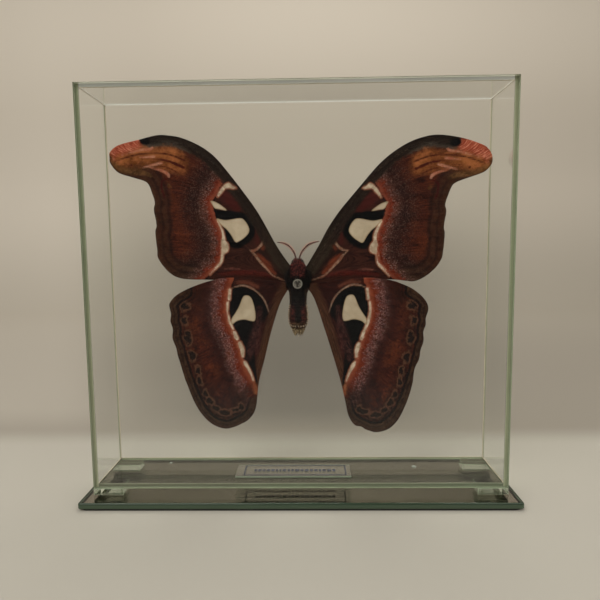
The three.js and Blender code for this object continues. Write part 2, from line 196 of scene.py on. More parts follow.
# The line across the forewing that parts its inner field from its outer one, and the one near its base
FORE_OUTER_LINE = [
    (-27, 62), (-31.5, 56), (-35.4, 51.8), (-38.4, 48), (-40, 44.7), (-42.4, 41.1), (-42, 37), (-40.9, 32.6),
    (-38.9, 27.7), (-37.6, 22.8), (-37.8, 17.9), (-38.4, 13.7), (-40, 10), (-43, 6.8), (-46.6, 3.7),
    (-52, -1),
]
FORE_BASE_LINE = [
    (-16, 32), (-16.7, 26), (-16.2, 22.1), (-17.8, 19.2), (-20.5, 15.8), (-18, 10.1), (-14.2, 5.9),
    (-11.3, 3.3), (-5, 0.5), (-2, -4),
]
FORE_MARGIN = LEFT_FOREWING[13:30]
FORE_COSTA = LEFT_FOREWING[:10] + [(-74.5, 71.4)]

# Marks on the left hindwing
HIND_PATCHES = {
    "window": [
        [(-26.2, -5.4), (-23.8, -5.9), (-22.4, -8.1), (-21.1, -13.9), (-21.4, -18.2), (-23.6, -18.5),
         (-26.9, -17.7), (-30.3, -18.4), (-32.2, -19.8), (-33.2, -20.6), (-33.7, -19.1), (-33.1, -16.7),
         (-31.1, -13.8), (-29.2, -10.5), (-27.6, -6.6)],
    ],
    "black": [
        [(-33, -2.2), (-29, -1.6), (-25.8, -1.7), (-21.1, -3.8), (-16.9, -8.9), (-15, -14.6), (-18.2, -19.1),
         (-20.6, -25.7), (-22, -33.3), (-22, -38.4), (-21.4, -44.6), (-21, -50.3), (-22.6, -50),
         (-24.2, -44.6), (-26.8, -39.5), (-27.7, -34.3), (-29.5, -28.2), (-31.6, -22.6), (-34, -17),
         (-34.7, -10.5)],
    ],
}
HIND_STROKES = {
    "white": [
        [(-33.6, -2.7, 0.75), (-34.1, -7.3, 0.8)],
        [(-34.9, -8.9, 0.6), (-35, -13.8, 0.6), (-33.9, -19.3, 0.9)],
        [(-33.7, -19.5, 0.8), (-32.5, -22.2, 0.7)],
        [(-31.8, -23.7, 0.8), (-30.8, -27, 1)],
        [(-29.3, -29.6, 0.9), (-28.2, -33, 1.1), (-28, -36.3, 0.6)],
        [(-27.3, -38.6, 0.5), (-26.3, -40.6, 0.9), (-24.3, -44.3, 0.7), (-22.8, -48.6, 0.45)],
    ],
    "amber": [[(-22.5, -49.6, 0.5), (-22, -52, 0.9), (-21.6, -54.8, 0.8)]],
    "hooked": [
        [(-32.8, -2, 0.2), (-29.7, -0.9, 0.4), (-25.6, -0.9, 0.45), (-20.9, -3.3, 0.35), (-18.1, -6.1, 0.35),
         (-16.2, -9.1, 0.4), (-14.4, -14.4, 0.15)],
    ],
    "orange": [[(-30, 0.6, 0.7), (-25, 0.8, 0.9), (-20, -1.4, 0.6)]],
    "maroon": [
        [(-20, -18.5, 0.6), (-23.5, -30, 0.9), (-24.8, -37, 0.5)],
        [(-19.2, -12, 0.4), (-20, -22, 0.6), (-21.4, -34, 0.4)],
    ],
    "vein": [
        [(-6, -0.2, 0.4), (-24, 1.4, 0.3), (-44, -1, 0.2), (-61, -6.4, 0.1)],
        [(-8, -1.6, 0.35), (-26, -3.6, 0.25), (-44, -9, 0.2), (-63, -16, 0.1)],
        [(-20, -5, 0.2), (-40, -16, 0.2), (-62.5, -25, 0.1)],
        [(-21.5, -12, 0.2), (-38, -27, 0.2), (-61, -35, 0.1)],
        [(-21.6, -18, 0.2), (-34, -36, 0.2), (-57, -48, 0.1)],
        [(-20, -19, 0.25), (-29, -42, 0.2), (-50, -64, 0.1)],
        [(-8, -3.6, 0.4), (-16, -16, 0.35), (-24, -42, 0.2), (-38, -72, 0.1)],
        [(-7, -4.6, 0.35), (-15, -24, 0.3), (-21, -46, 0.2), (-25, -66, 0.1)],
    ],
}
HIND_OUTER_LINE = [
    (-32, 6), (-32.7, 1.5), (-34.4, -2.4), (-35.8, -7.9), (-36, -13.5), (-34.9, -19), (-33, -23.6),
    (-30.7, -29.2), (-29.3, -33.3), (-28.6, -37.9), (-26.7, -43.1), (-24.6, -47.2), (-23, -51.9),
    (-21.6, -56), (-17, -60),
]
HIND_MARGIN = LEFT_HINDWING[7:28]
HIND_COSTA = [(-3.4, 0.4), (-14, 1.7), (-29, 3.2), (-44.9, 1.4), (-56.6, -3)]
HIND_INNER_EDGE = [(-21, -56)] + LEFT_HINDWING[28:33] + [(-3.4, 2)]
LOOP_DEPTH = 7.4
LOOP_RADIUS = 1.7
LOOP_COUNT = 15
LOOP_TURN = -60

# Half widths of the body and the heights that they belong to, from its head down to its tuft
BODY_PROFILE = [
    (0, 12.4), (1.3, 12.2), (2.2, 11.2), (2.9, 9.9), (3.3, 9), (3.6, 7.8), (4.3, 6.2), (5, 3.2), (4.9, 0.4),
    (4.5, -1.4), (4.15, -2.6), (4.05, -6), (3.95, -9.4), (4.3, -11.8), (4.65, -14.6), (4.6, -17.6),
    (4.1, -20.2), (3.3, -22), (2.4, -23), (1.4, -23.8), (0, -24.2),
]

WALL_LIGHT = 0.53
MOTH_LIGHT = 0.83
MOTH_VEIL = 0.0055


def linear(value):
    value = value / 255
    return value / 12.92 if value <= 0.04045 else ((value + 0.055) / 1.055) ** 2.4


def seen(red, green, blue):
    """The colour a surface needs to look like this in the photograph's soft light."""
    return tuple(min(linear(v) / WALL_LIGHT, 0.9) for v in (red, green, blue)) + (1,)


def scale_colour(red, green, blue):
    """The same for the moth, which the lamps reach more fully and the front sheet veils a little."""
    return tuple(min(max(linear(v) - MOTH_VEIL, 0.0008) / MOTH_LIGHT, 0.9) for v in (red, green, blue)) + (1,)


class Tree:
    """A material's nodes, made and linked by short calls."""

    def __init__(self, node_tree):
        self.nodes = node_tree.nodes
        self.links = node_tree.links

    def put(self, socket, value):
        if isinstance(value, bpy.types.NodeSocket):
            self.links.new(value, socket)
        else:
            socket.default_value = value

    def new(self, kind, **settings):
        node = self.nodes.new(kind)
        for key, value in settings.items():
            setattr(node, key, value)
        return node

    def attribute(self, name, output="Fac"):
        return self.new("ShaderNodeAttribute", attribute_name=name).outputs[output]

    def place(self):
        return self.new("ShaderNodeTexCoord").outputs["Object"]

    def noise(self, vector, scale, detail=3.0, roughness=0.55, output="Fac"):
        node = self.new("ShaderNodeTexNoise")
        self.put(node.inputs["Vector"], vector)
        self.put(node.inputs["Scale"], scale)
        node.inputs["Detail"].default_value = detail
        node.inputs["Roughness"].default_value = roughness
        return node.outputs[output]

    def cells(self, vector, scale, output="Distance"):
        node = self.new("ShaderNodeTexVoronoi")
        self.put(node.inputs["Vector"], vector)
        node.inputs["Scale"].default_value = scale
        return node.outputs[output]

    def math(self, operation, a, b=0.0):
        node = self.new("ShaderNodeMath", operation=operation)
        self.put(node.inputs[0], a)
        self.put(node.inputs[1], b)
        return node.outputs[0]

    def times(self, a, b):
        return self.math("MULTIPLY", a, b)

    def plus(self, a, b):
        return self.math("ADD", a, b)

    def minus(self, a, b):
        return self.math("SUBTRACT", a, b)

    def range(self, value, start, spread):
        """The start, and as much of the spread as the value says."""
        return self.plus(start, self.times(value, spread))

    def axes(self, place):
        """The x, y and z of a place."""
        node = self.new("ShaderNodeSeparateXYZ")
        self.put(node.inputs[0], place)
        return list(node.outputs)

    def scaled(self, vector, factors):
        node = self.new("ShaderNodeVectorMath", operation="MULTIPLY")
        self.put(node.inputs[0], vector)
        node.inputs[1].default_value = factors
        return node.outputs[0]

    def smooth(self, value, low, high):
        node = self.new("ShaderNodeMapRange", interpolation_type="SMOOTHSTEP")
        self.put(node.inputs["Value"], value)
        node.inputs["From Min"].default_value = low
        node.inputs["From Max"].default_value = high
        return node.outputs["Result"]

    def mix(self, factor, a, b):
        node = self.new("ShaderNodeMix", data_type="RGBA")
        self.put(node.inputs[0], factor)
        self.put(node.inputs[6], a)
        self.put(node.inputs[7], b)
        return node.outputs[2]

    def bump(self, height, strength, distance):
        node = self.new("ShaderNodeBump")
        self.put(node.inputs["Strength"], strength)
        self.put(node.inputs["Distance"], distance)
        self.put(node.inputs["Height"], height)
        return node.outputs["Normal"]

    def shared(self, group, *values):
        """Places a shared effect with its own values, and gives back what it puts out."""
        node = self.new("ShaderNodeGroup", node_tree=group)
        for socket, value in zip(node.inputs, values):
            self.put(socket, value)
        return list(node.outputs)


SOCKETS = {"vector": "NodeSocketVector", "colour": "NodeSocketColor", "value": "NodeSocketFloat"}


def shared_effect(name, takes, gives, build):
    """A node group that several materials place, each with its own values."""
    group = bpy.data.node_groups.new(name, "ShaderNodeTree")
    for label, kind in takes:
        group.interface.new_socket(name=label, in_out="INPUT", socket_type=SOCKETS[kind])
    for label, kind in gives:
        group.interface.new_socket(name=label, in_out="OUTPUT", socket_type=SOCKETS[kind])
    tree = Tree(group)
    start, end = tree.new("NodeGroupInput"), tree.new("NodeGroupOutput")
    for socket, value in zip(end.inputs, build(tree, *start.outputs[: len(takes)])):
        tree.put(socket, value)
    return group


def build_glass_wear(tree, place, base, smear, dust):
    smears = tree.smooth(tree.noise(place, 22.0, 4.0), 0.5, 0.8)
    specks = tree.smooth(tree.noise(place, 1400.0, 1.0), 0.7, 0.86)
    wear = tree.plus(tree.times(smears, smear), tree.times(specks, dust))
    return (tree.plus(wear, base),)


GLASS_WEAR = shared_effect(
    "glass_wear", (("Place", "vector"), ("Base", "value"), ("Smear", "value"), ("Dust", "value")),
    (("Roughness", "value"),), build_glass_wear,
)


def build_fine_grain(tree, place, scale, smoothest, spread, depth):
    grain = tree.noise(place, scale, 3.0)
    rough = tree.plus(smoothest, tree.times(grain, spread))
    return grain, rough, tree.bump(grain, 0.5, depth)


FINE_GRAIN = shared_effect(
    "fine_grain",
    (
        ("Place", "vector"), ("Scale", "value"), ("Smoothest", "value"), ("Spread", "value"),
        ("Depth", "value"),
    ),
    (("Grain", "value"), ("Roughness", "value"), ("Normal", "vector")), build_fine_grain,
)


def grained(tree, shader, scale, smoothest, spread, depth=0.00005):
    """Gives a shader the shared fine grain in its roughness and its relief."""
    grain, rough, normal = tree.shared(FINE_GRAIN, tree.place(), scale, smoothest, spread, depth)
    dress(tree, shader, rough=rough, normal=normal)
    return grain


def dress(tree, shader, colour=None, rough=None, normal=None, shine=None):
    """Gives a shader its colour, roughness and relief, and sets its plain specular level."""
    wanted = {"Base Color": colour, "Roughness": rough, "Normal": normal, "Specular IOR Level": shine}
    for name, value in wanted.items():
        if value is not None:
            tree.put(shader.inputs[name], value)


def new_material(name):
    """A material with its node helper, its Principled shader and its output."""
    material = bpy.data.materials.new(name)
    material.use_nodes = True
    tree = Tree(material.node_tree)
    shader = material.node_tree.nodes["Principled BSDF"]
    output = material.node_tree.nodes["Material Output"]
    return material, tree, shader, output


def piece_from(bm, name, materials, replaced=(), smooth=True):
    """Turns a bmesh in metres into a finished piece that rides on the part."""
    mesh = bpy.data.meshes.new(name)
    bm.to_mesh(mesh)
    bm.free()
    return piece_of(mesh, name, materials, replaced, smooth)


def piece_of(mesh, name, materials, replaced=(), smooth=True):
    for material in materials:
        mesh.materials.append(material)
    if smooth:
        mesh.shade_smooth()
    piece = bpy.data.objects.new(name, mesh)
    bpy.context.scene.collection.objects.link(piece)
    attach(piece, "root")
    if replaced:
        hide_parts(*replaced)
    return piece


# Glass


GLASS_SMEAR = 0.002
GLASS_DUST = 0.002
OPEN_AIR = (0.93, 0.94, 0.92, 1)


def glass_material(name, tint, absorbed, density, shine=0.5, roughness=0.0, bending=1.45):
    """Clear glass: it bends light, darkens it by its depth, and lets lamps through."""
    material, tree, shader, output = new_material(name)
    shader.inputs["IOR"].default_value = bending
    shader.inputs["Transmission Weight"].default_value = 1.0
    worn, = tree.shared(GLASS_WEAR, tree.place(), roughness, GLASS_SMEAR, GLASS_DUST)
    dress(tree, shader, tint, worn, shine=shine)
    open_air = tree.new("ShaderNodeBsdfTransparent")
    open_air.inputs["Color"].default_value = OPEN_AIR
    path = tree.new("ShaderNodeLightPath")
    mixer = tree.new("ShaderNodeMixShader")
    tree.put(mixer.inputs[0], path.outputs["Is Shadow Ray"])
    tree.put(mixer.inputs[1], shader.outputs[0])
    tree.put(mixer.inputs[2], open_air.outputs[0])
    tree.put(output.inputs["Surface"], mixer.outputs[0])
    inside = tree.new("ShaderNodeVolumeAbsorption")
    inside.inputs["Color"].default_value = absorbed
    inside.inputs["Density"].default_value = density
    tree.put(output.inputs["Volume"], inside.outputs[0])
    return material


def build_edge_tones(tree, place, inward, outer, middle, inner):
    """A cut edge of glass in three tones across its width, drifting a little along its length. The green is
    the glass's own; the lighter and darker tones across it are painted light and shade.
    """
    drift = tree.smooth(tree.noise(place, 9.0, 2.0), 0.38, 0.64)
    fine = tree.noise(place, 700.0, 2.0)
    colour = tree.mix(tree.smooth(inward, -0.75, -0.3), outer, middle)
    colour = tree.mix(tree.smooth(inward, 0.25, 0.7), colour, inner)
    colour = tree.mix(tree.times(drift, 0.2), colour, (0.13, 0.22, 0.12, 1))
    colour = tree.mix(tree.times(fine, 0.15), colour, outer)
    return colour, tree.plus(0.12, tree.times(fine, 0.12)), tree.bump(fine, 0.03, 0.0001)


EDGE_TONES = shared_effect(
    "edge_tones",
    (
        ("Place", "vector"), ("Inward", "value"), ("Outer", "colour"), ("Middle", "colour"),
        ("Inner", "colour"),
    ),
    (("Color", "colour"), ("Roughness", "value"), ("Normal", "vector")), build_edge_tones,
)


def edge_material(name, outer, middle, inner):
    """The cut edges of the sheets, painted by how far inward they lie, with painted light and shade standing
    in for the light seen through the glass.
    """
    material, tree, shader, _ = new_material(name)
    tones = [seen(*tone) for tone in (outer, middle, inner)]
    colour, rough, normal = tree.shared(EDGE_TONES, tree.place(), tree.attribute("inward"), *tones)
    dress(tree, shader, colour, rough, normal, 0.3)
    return material


def add_box(bm, low, high):
    """Adds a box between two corners."""
    points = bmesh.ops.create_cube(bm, size=1.0)["verts"]
    bmesh.ops.scale(bm, vec=high - low, verts=points)
    bmesh.ops.translate(bm, vec=(low + high) / 2, verts=points)


def ease(bm, edges, width, segments):
    """Rounds edges by a width."""
    bmesh.ops.bevel(
        bm, geom=edges, offset=width, offset_type="OFFSET", affect="EDGES", segments=segments, profile=0.5,
        material=-1,
    )


def glass_box(node, arris, materials, thin_axis=None, ways=()):
    """The node's block or sheet of glass, its sharp edges eased and its cut faces marked.

    The faces that look one of the ways take the third material and those after it.
    """
    low, high = (Vector(corner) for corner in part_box(node))
    bm = bmesh.new()
    add_box(bm, low, high)
    ease(bm, bm.edges[:], arris * MM, 2)
    if thin_axis is None:
        for face in bm.faces:
            face.material_index = 0 if max(abs(c) for c in face.normal) > 0.99 else 1
    else:
        inward = bm.verts.layers.float.new("inward")
        middle = (low + high)[thin_axis] / 2
        half = (high - low)[thin_axis] / 2
        if middle > CASE_CENTRE[thin_axis]:
            half = -half
        for vertex in bm.verts:
            vertex[inward] = (vertex.co[thin_axis] - middle) / half
        for face in bm.faces:
            face.material_index = 0 if abs(face.normal[thin_axis]) > 0.9 else 1
            for index, way in enumerate(ways, 2):
                if face.normal.dot(Vector(way)) > 0.9:
                    face.material_index = index
    return piece_from(bm, node + "_glass", materials, replaced=(node,), smooth=False)


GLUE_BEAD = 0.24


def make_glue_beads():
    """Thin beads of clear glue, yellowed a little, along the inner corners of the case."""
    low, high = Vector(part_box("case_floor")[0]) / MM, Vector(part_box("case_top")[1]) / MM
    low.z, high.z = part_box("case_floor")[1][2] / MM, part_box("case_top")[0][2] / MM
    bm = bmesh.new()
    corners = [(x, y, z) for x in (low.x, high.x) for y in (low.y, high.y) for z in (low.z, high.z)]
    for i, start in enumerate(corners):
        for end in corners[i + 1 :]:
            axes = [k for k in range(3) if start[k] != end[k]]
            if len(axes) != 1 or (axes[0] == 0 and start[1] == high.y and start[2] == high.z):
                continue
            if start[1] == low.y and (axes[0] == 2 or (axes[0] == 0 and start[2] == low.z)):
                continue
            size = Vector([GLUE_BEAD] * 3)
            size[axes[0]] = abs(end[axes[0]] - start[axes[0]])
            inward = Vector([GLUE_BEAD / 2 * (1 if start[k] == low[k] else -1) for k in range(3)])
            inward[axes[0]] = 0
            centre = (Vector(start) + Vector(end)) / 2 + inward
            add_box(bm, (centre - size / 2) * MM, (centre + size / 2) * MM)
    material, tree, shader, _ = new_material("glue_bead")
    drift = grained(tree, shader, 90.0, 0.15, 0.2)
    dress(tree, shader, tree.mix(drift, seen(132, 121, 104), seen(162, 151, 133)), shine=0.3)
    piece_from(bm, "glue_beads", (material,), smooth=False)


# The outer, middle and inner tone of each cut edge as the photo shows them
# Each edge's green is the glass's own; the lighter and darker tones across it are painted light and shade,
# standing in for light seen through the glass.
EDGES_SEEN = {
    "side_edge": ((98, 102, 82), (114, 117, 95), (133, 134, 115)),
    # Painted light: the lid's edge made pale to stand in for light that barely reaches it behind the front
    # sheet.
    "lid_edge_painted_light": ((200, 196, 174), (224, 218, 196), (204, 198, 178)),
    "floor_edge": ((96, 99, 84), (72, 75, 61), (104, 104, 90)),
    "sheet_ends": ((112, 120, 98), (126, 132, 110), (118, 124, 104)),
    # Painted light: the sheets' top ends made pale.
    "sheet_tops_painted_light": ((180, 177, 156), (188, 184, 164), (182, 178, 158)),
    # Painted light: the rear feet and the floor's rear edge made pale so that the mirror shows them as a
    # light line.
    "rear_feet_painted_light": ((138, 144, 120), (150, 156, 130), (140, 146, 122)),
    # Painted shade: the front sheet's foot made darker than its top.
    "sheet_feet_painted_shade": ((86, 92, 76), (98, 104, 86), (90, 95, 79)),
    # Painted highlight: pale rims on the corner blocks, drawn as bright outlines.
    "block_rim_painted_highlight": ((118, 126, 108), (132, 140, 122), (118, 126, 108)),
}
UP, DOWN, BACK = (0, 0, 1), (0, 0, -1), (0, 1, 0)
SHEET_ARRIS = 0.15
BLOCK_ARRIS = 0.18


def make_case():
    tint, absorbed = (0.985, 0.99, 0.982, 1), (0.55, 0.8, 0.62, 1)
    front = glass_material("front_glass", tint, absorbed, 4.0, 0.06, bending=1.3)
    clear = glass_material("case_glass", tint, absorbed, 4.0, 0.2)
    still = glass_material("floor_glass", (0.67, 0.693, 0.665, 1), absorbed, 4.0, 0.05, bending=1.15)
    block_tint, block_absorbed = (0.86, 0.92, 0.86, 1), (0.55, 0.78, 0.62, 1)
    block = glass_material("block_glass", block_tint, block_absorbed, 16.0, 0.3, bending=1.08)
    edge = {name: edge_material(name, *tones) for name, tones in EDGES_SEEN.items()}
    upright = (front, edge["sheet_ends"], edge["sheet_tops_painted_light"])
    for node, axis, materials, ways in (
        ("case_front", 1, upright + (edge["sheet_feet_painted_shade"],), (UP, DOWN)),
        ("case_back", 1, upright + (edge["rear_feet_painted_light"],), (UP, DOWN)),
        ("case_left", 0, (clear, edge["side_edge"]), ()),
        ("case_right", 0, (clear, edge["side_edge"]), ()),
        ("case_top", 2, (clear, edge["lid_edge_painted_light"]), ()),
        ("case_floor", 2, (still, edge["floor_edge"], edge["rear_feet_painted_light"]), (BACK,)),
    ):
        glass_box(node, SHEET_ARRIS, materials, axis, ways)
    for corner in ("front_left", "front_right", "rear_left", "rear_right"):
        glass_box("corner_block_" + corner, BLOCK_ARRIS, (block, edge["block_rim_painted_highlight"]))
    make_glue_beads()


# Base


def mirror_material():
    """The dark bronze coat under the base glass."""
    material, tree, shader, _ = new_material("dark_mirror")
    place = tree.place()
    cloud = tree.noise(place, 14.0, 4.0)
    dust = tree.smooth(tree.noise(place, 3000.0, 2.0), 0.6, 0.8)
    colour = tree.mix(cloud, (0.285, 0.264, 0.23, 1), (0.33, 0.307, 0.27, 1))
    colour = tree.mix(tree.times(dust, 0.06), colour, (0.4, 0.38, 0.34, 1))
    dress(tree, shader, colour, tree.range(cloud, 0.03, 0.03))
    shader.inputs["Metallic"].default_value = 1.0
    return material


def base_edge_material():
    """The thick glass seen through its polished edge: dark green, paler below its upper bevel, which is
    darkened by painted shade.
    """
    material, tree, shader, _ = new_material("base_edge_glass")
    place = tree.place()
    height = tree.axes(place)[2]
    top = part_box("base_plate")[1][2]
    # Painted shade: darker near the top, where the bevel catches the light.
    rise = tree.smooth(height, top - 1.0 * MM, top - 0.6 * MM)
    streak = tree.noise(tree.scaled(place, (0.12, 1, 1)), 260.0, 3.0)
    colour = tree.mix(rise, seen(53, 63, 50), seen(34, 42, 32))
    colour = tree.mix(tree.times(streak, 0.5), colour, seen(46, 62, 50))
    dress(tree, shader, colour, tree.range(streak, 0.06, 0.12), shine=0.25)
    return material


def backing_material():
    material, tree, shader, _ = new_material("black_backing")
    grain = grained(tree, shader, 1800.0, 0.7, 0.25)
    dress(tree, shader, tree.mix(grain, (0.006, 0.006, 0.006, 1), (0.03, 0.029, 0.027, 1)))
    return material


BASE_CORNER_RADIUS = 1.3
BASE_BEVEL = 0.7


def make_base():
    low, high = (Vector(c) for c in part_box("base_plate"))
    bm = bmesh.new()
    add_box(bm, low, high)
    uprights = [e for e in bm.edges if abs(e.verts[0].co.z - e.verts[1].co.z) > MM]
    ease(bm, uprights, BASE_CORNER_RADIUS * MM, 8)
    rims = [e for e in bm.edges if abs(e.verts[0].co.z - e.verts[1].co.z) < 0.1 * MM]
    ease(bm, rims, BASE_BEVEL * MM, 3)
    for face in bm.faces:
        face.material_index = 0 if face.normal.z < -0.98 else 2 if face.normal.z > 0.98 else 1
    cover = glass_material("base_glass", (0.97, 0.985, 0.97, 1), (0.6, 0.8, 0.66, 1), 6.0, 0.2, bending=1.3)
    materials = (mirror_material(), base_edge_material(), cover)
    piece_from(bm, "base_plate_glass", materials, ("base_plate",), smooth=False)
    bpy.data.objects["base_backing"].material_slots[0].material = backing_material()


# Shapes from points


def spline(points, steps):
    """A smooth open line through points, with this many steps between two of them."""
    points = np.array(points, dtype=float)
    padded = np.vstack([points[:1], points, points[-1:]])
    t = np.arange(steps)[:, None] / steps
    out = []
    for a, b, c, d in zip(padded, padded[1:], padded[2:], padded[3:]):
        v0, v1 = (c - a) / 2, (d - b) / 2
        out.append((2 * b - 2 * c + v0 + v1) * t**3 + (-3 * b + 3 * c - 2 * v0 - v1) * t**2 + v0 * t + b)
    return np.vstack(out + [points[-1:]])


def closed_spline(points, steps=5):
    """A smooth closed line through points."""
    points = list(points)
    ring = spline(points[-2:] + points + points[:2], steps)
    return ring[2 * steps : (2 + len(points)) * steps]


def line_distance(places, line, radii=None):
    """Distance from each place to a line of points, less the line's half width, and the side it lies on."""
    best = np.full(len(places), 1e9)
    side = np.ones(len(places))
    for i in range(len(line) - 1):
        a, b = line[i], line[i + 1]
        along = b - a
        t = np.clip(((places - a) @ along) / max(along @ along, 1e-12), 0, 1)
        off = places - (a + t[:, None] * along)
        distance = np.hypot(off[:, 0], off[:, 1])
        if radii is not None:
            distance = distance - (radii[i] * (1 - t) + radii[i + 1] * t)
        near = distance < best
        best[near] = distance[near]
        cross = along[0] * off[:, 1] - along[1] * off[:, 0]
        side[near] = np.where(cross[near] < 0, 1.0, -1.0)
    return best, side


def patch_distance(places, outline):
    """Distance from each place to a closed outline, below nought inside it."""
    ring = closed_spline(outline)
    ring = np.vstack([ring, ring[:1]])
    distance, _ = line_distance(places, ring)
    inside = np.zeros(len(places), dtype=bool)
    x, y = places[:, 0], places[:, 1]
    for (ax, ay), (bx, by) in zip(ring, ring[1:]):
        crosses = (ay > y) != (by > y)
        with np.errstate(divide="ignore", invalid="ignore"):
            at = (bx - ax) * (y - ay) / (by - ay) + ax
        inside ^= crosses & (x < at)
    return np.where(inside, -distance, distance)


def stroke_distance(places, stroke, steps=4):
    line = spline([p[:2] for p in stroke], steps)
    widths = spline([(p[2], 0) for p in stroke], steps)[:, 0]
    return line_distance(places, line, widths)[0]


def mark_distances(places, patches, strokes):
    """For each named mark, the distance to its nearest patch or stroke, below nought inside it."""
    found = {}
    for marks, distance in ((patches, patch_distance), (strokes, stroke_distance)):
        for name, shapes in marks.items():
            for shape in shapes:
                d = distance(places, shape)
                found[name] = np.minimum(found[name], d) if name in found else d
    return found


def edge_distance(places, line, steps=4):
    return line_distance(places, spline(line, steps))[0]


def side_distance(places, line, steps=4):
    """Distance to a line that crosses the wing, above nought on the side away from the body."""
    distance, side = line_distance(places, spline(line, steps))
    return distance * side


# Wings


def to_left(places, pairs):
    """Moves places on a right wing to the same places on the left wing."""
    rights = np.array([(x, z, 1) for (x, z), _ in pairs])
    lefts = np.array([left for _, left in pairs])
    fit = np.linalg.lstsq(rights, lefts, rcond=None)[0]
    return np.column_stack([places, np.ones(len(places))]) @ fit


def wing_set_back(x, z, base):
    """How far back the middle of a wing lies, as in the part's solids."""
    reach = np.minimum(np.abs(x) / HALF_SPAN, 1)
    camber = WING_CAMBER * np.sin(np.pi * reach)
    apex = np.maximum(0, reach - 0.72) * np.maximum(0, z) / HALF_SPAN
    return base * (1 + camber) - APEX_BEND * apex * 4


def wing_fields(places, kind):
    """Every distance that the wing's colours and relief are drawn from, in millimetres."""
    fore = kind == "forewing"
    patches = FORE_PATCHES if fore else HIND_PATCHES
    strokes = FORE_STROKES if fore else HIND_STROKES
    fields = mark_distances(places, patches, strokes)
    fields["margin"] = edge_distance(places, FORE_MARGIN if fore else HIND_MARGIN)
    fields["outer"] = side_distance(places, FORE_OUTER_LINE if fore else HIND_OUTER_LINE)
    if fore:
        fields["basal"] = -side_distance(places, FORE_BASE_LINE)
        fields["costa"] = edge_distance(places, FORE_COSTA)
    else:
        fields["inner"] = edge_distance(places, HIND_INNER_EDGE)
        fields["loop"] = loop_distance(places)
    return fields


def loop_distance(places):
    """Distance to the row of small loops inside the hindwing's margin, below nought within a loop."""
    line = spline(HIND_MARGIN, 6)
    steps = np.hypot(*np.diff(line, axis=0).T)
    along = np.concatenate([[0], np.cumsum(steps)])
    chooser = random.Random(11)
    best = np.full(len(places), 1e9)
    for k in range(LOOP_COUNT):
        at = (k + 0.5) / LOOP_COUNT * along[-1] * 0.97
        i = min(int(np.searchsorted(along, at)), len(line) - 2)
        tangent = line[i + 1] - line[i]
        tangent = tangent / np.hypot(*tangent)
        inward = np.array([-tangent[1], tangent[0]])
        if inward[1 if line[i][1] <= LOOP_TURN else 0] < 0:
            inward = -inward
        centre = line[i] + inward * (LOOP_DEPTH + chooser.uniform(-0.6, 0.8))
        off = places - centre
        u = off @ tangent / chooser.uniform(1.1, 1.6)
        v = off @ inward / chooser.uniform(0.75, 1.05)
        bend = 0.5 * np.sin(u * 1.7 + k)
        best = np.minimum(best, np.hypot(u, v + bend) - LOOP_RADIUS)
    return best


def wing_sheet(outline, cell):
    """A flat sheet of the outline, cut into a fine grid so that it can be bowed and marked."""
    ring = spline(outline, 5)
    bm = bmesh.new()
    bm.faces.new([bm.verts.new((x * MM, 0, z * MM)) for x, z in ring])
    for axis in (0, 1):
        low, high = ring[:, axis].min(), ring[:, axis].max()
        cuts = int((high - low) / cell)
        normal = (1, 0, 0) if axis == 0 else (0, 0, 1)
        for k in range(1, cuts):
            at = (low + (high - low) * k / cuts) * MM
            co = (at, 0, 0) if axis == 0 else (0, 0, at)
            geometry = bm.verts[:] + bm.edges[:] + bm.faces[:]
            bmesh.ops.bisect_plane(bm, geom=geometry, dist=1e-7, plane_co=co, plane_no=normal)
    bmesh.ops.remove_doubles(bm, verts=bm.verts, dist=2e-5)
    bm.normal_update()
    if bm.faces[:][0].normal.y > 0:
        bmesh.ops.reverse_faces(bm, faces=bm.faces)
    return bm


def make_wing(name, outline, kind, base, material):
    right = outline[1][0] > 0
    pairs = FOREWING_PAIRS if kind == "forewing" else HINDWING_PAIRS
    bm = wing_sheet(outline, WING_CELL)
    places = np.array([(v.co.x, v.co.z) for v in bm.verts]) / MM
    left = to_left(places, pairs) if right else places
    fields = wing_fields(left, kind)
    ridge = np.clip(1 - np.maximum(fields["vein"], 0) / 0.6, 0, 1)
    hollow = np.sin(np.clip(fields["vein"], 0, 6) / 6 * np.pi) * 0.12
    ripple = 0.16 * np.sin(left[:, 0] * 0.31 + 1.3) * np.sin(left[:, 1] * 0.23)
    rim = np.clip(1 - fields["margin"] / 5, 0, 1) * 0.3 * np.sin((left[:, 0] + left[:, 1]) * 0.8)
    back = wing_set_back(places[:, 0], places[:, 1], base) - 0.16 * ridge + hollow + ripple * 0.6 + rim * 0.5
    for vertex, y in zip(bm.verts, back):
        vertex.co.y = y * MM
    bm.normal_update()
    bmesh.ops.solidify(bm, geom=bm.faces[:], thickness=WING_THICKNESS * MM)
    bmesh.ops.translate(bm, vec=THORAX_CENTRE, verts=bm.verts)
    mesh = bpy.data.meshes.new(name)
    bm.to_mesh(mesh)
    bm.free()
    write_fields(mesh, kind, right, pairs)
    return piece_of(mesh, name + "_scales", (material,), (name,))


FORE_RUNS = (1, 2, 3, 4, 5, 6, 7, 7.2, 8, 9)
HIND_RUNS = (1, 2, 3, 4, 5, 6, 7, 8)


def vein_run(places, kind):
    """A value that stays the same along the veins and rises from the leading edge to the inner one."""
    fore = kind == "forewing"
    veins, runs = (FORE_STROKES, FORE_RUNS) if fore else (HIND_STROKES, HIND_RUNS)
    lines = [[p[:2] for p in stroke] for stroke in veins["vein"]]
    fore_inner_edge = FORE_MARGIN[-3:] + [(-30, 1.6), (-3.4, -0.9)]
    lines += [FORE_COSTA, fore_inner_edge] if fore else [HIND_COSTA, HIND_INNER_EDGE]
    total, weights = 0, 0
    for line, value in zip(lines, runs + (0, len(runs) + 1)):
        weight = 1 / (edge_distance(places, line, 3) + 0.8) ** 2
        total = total + weight * value
        weights = weights + weight
    return total / weights


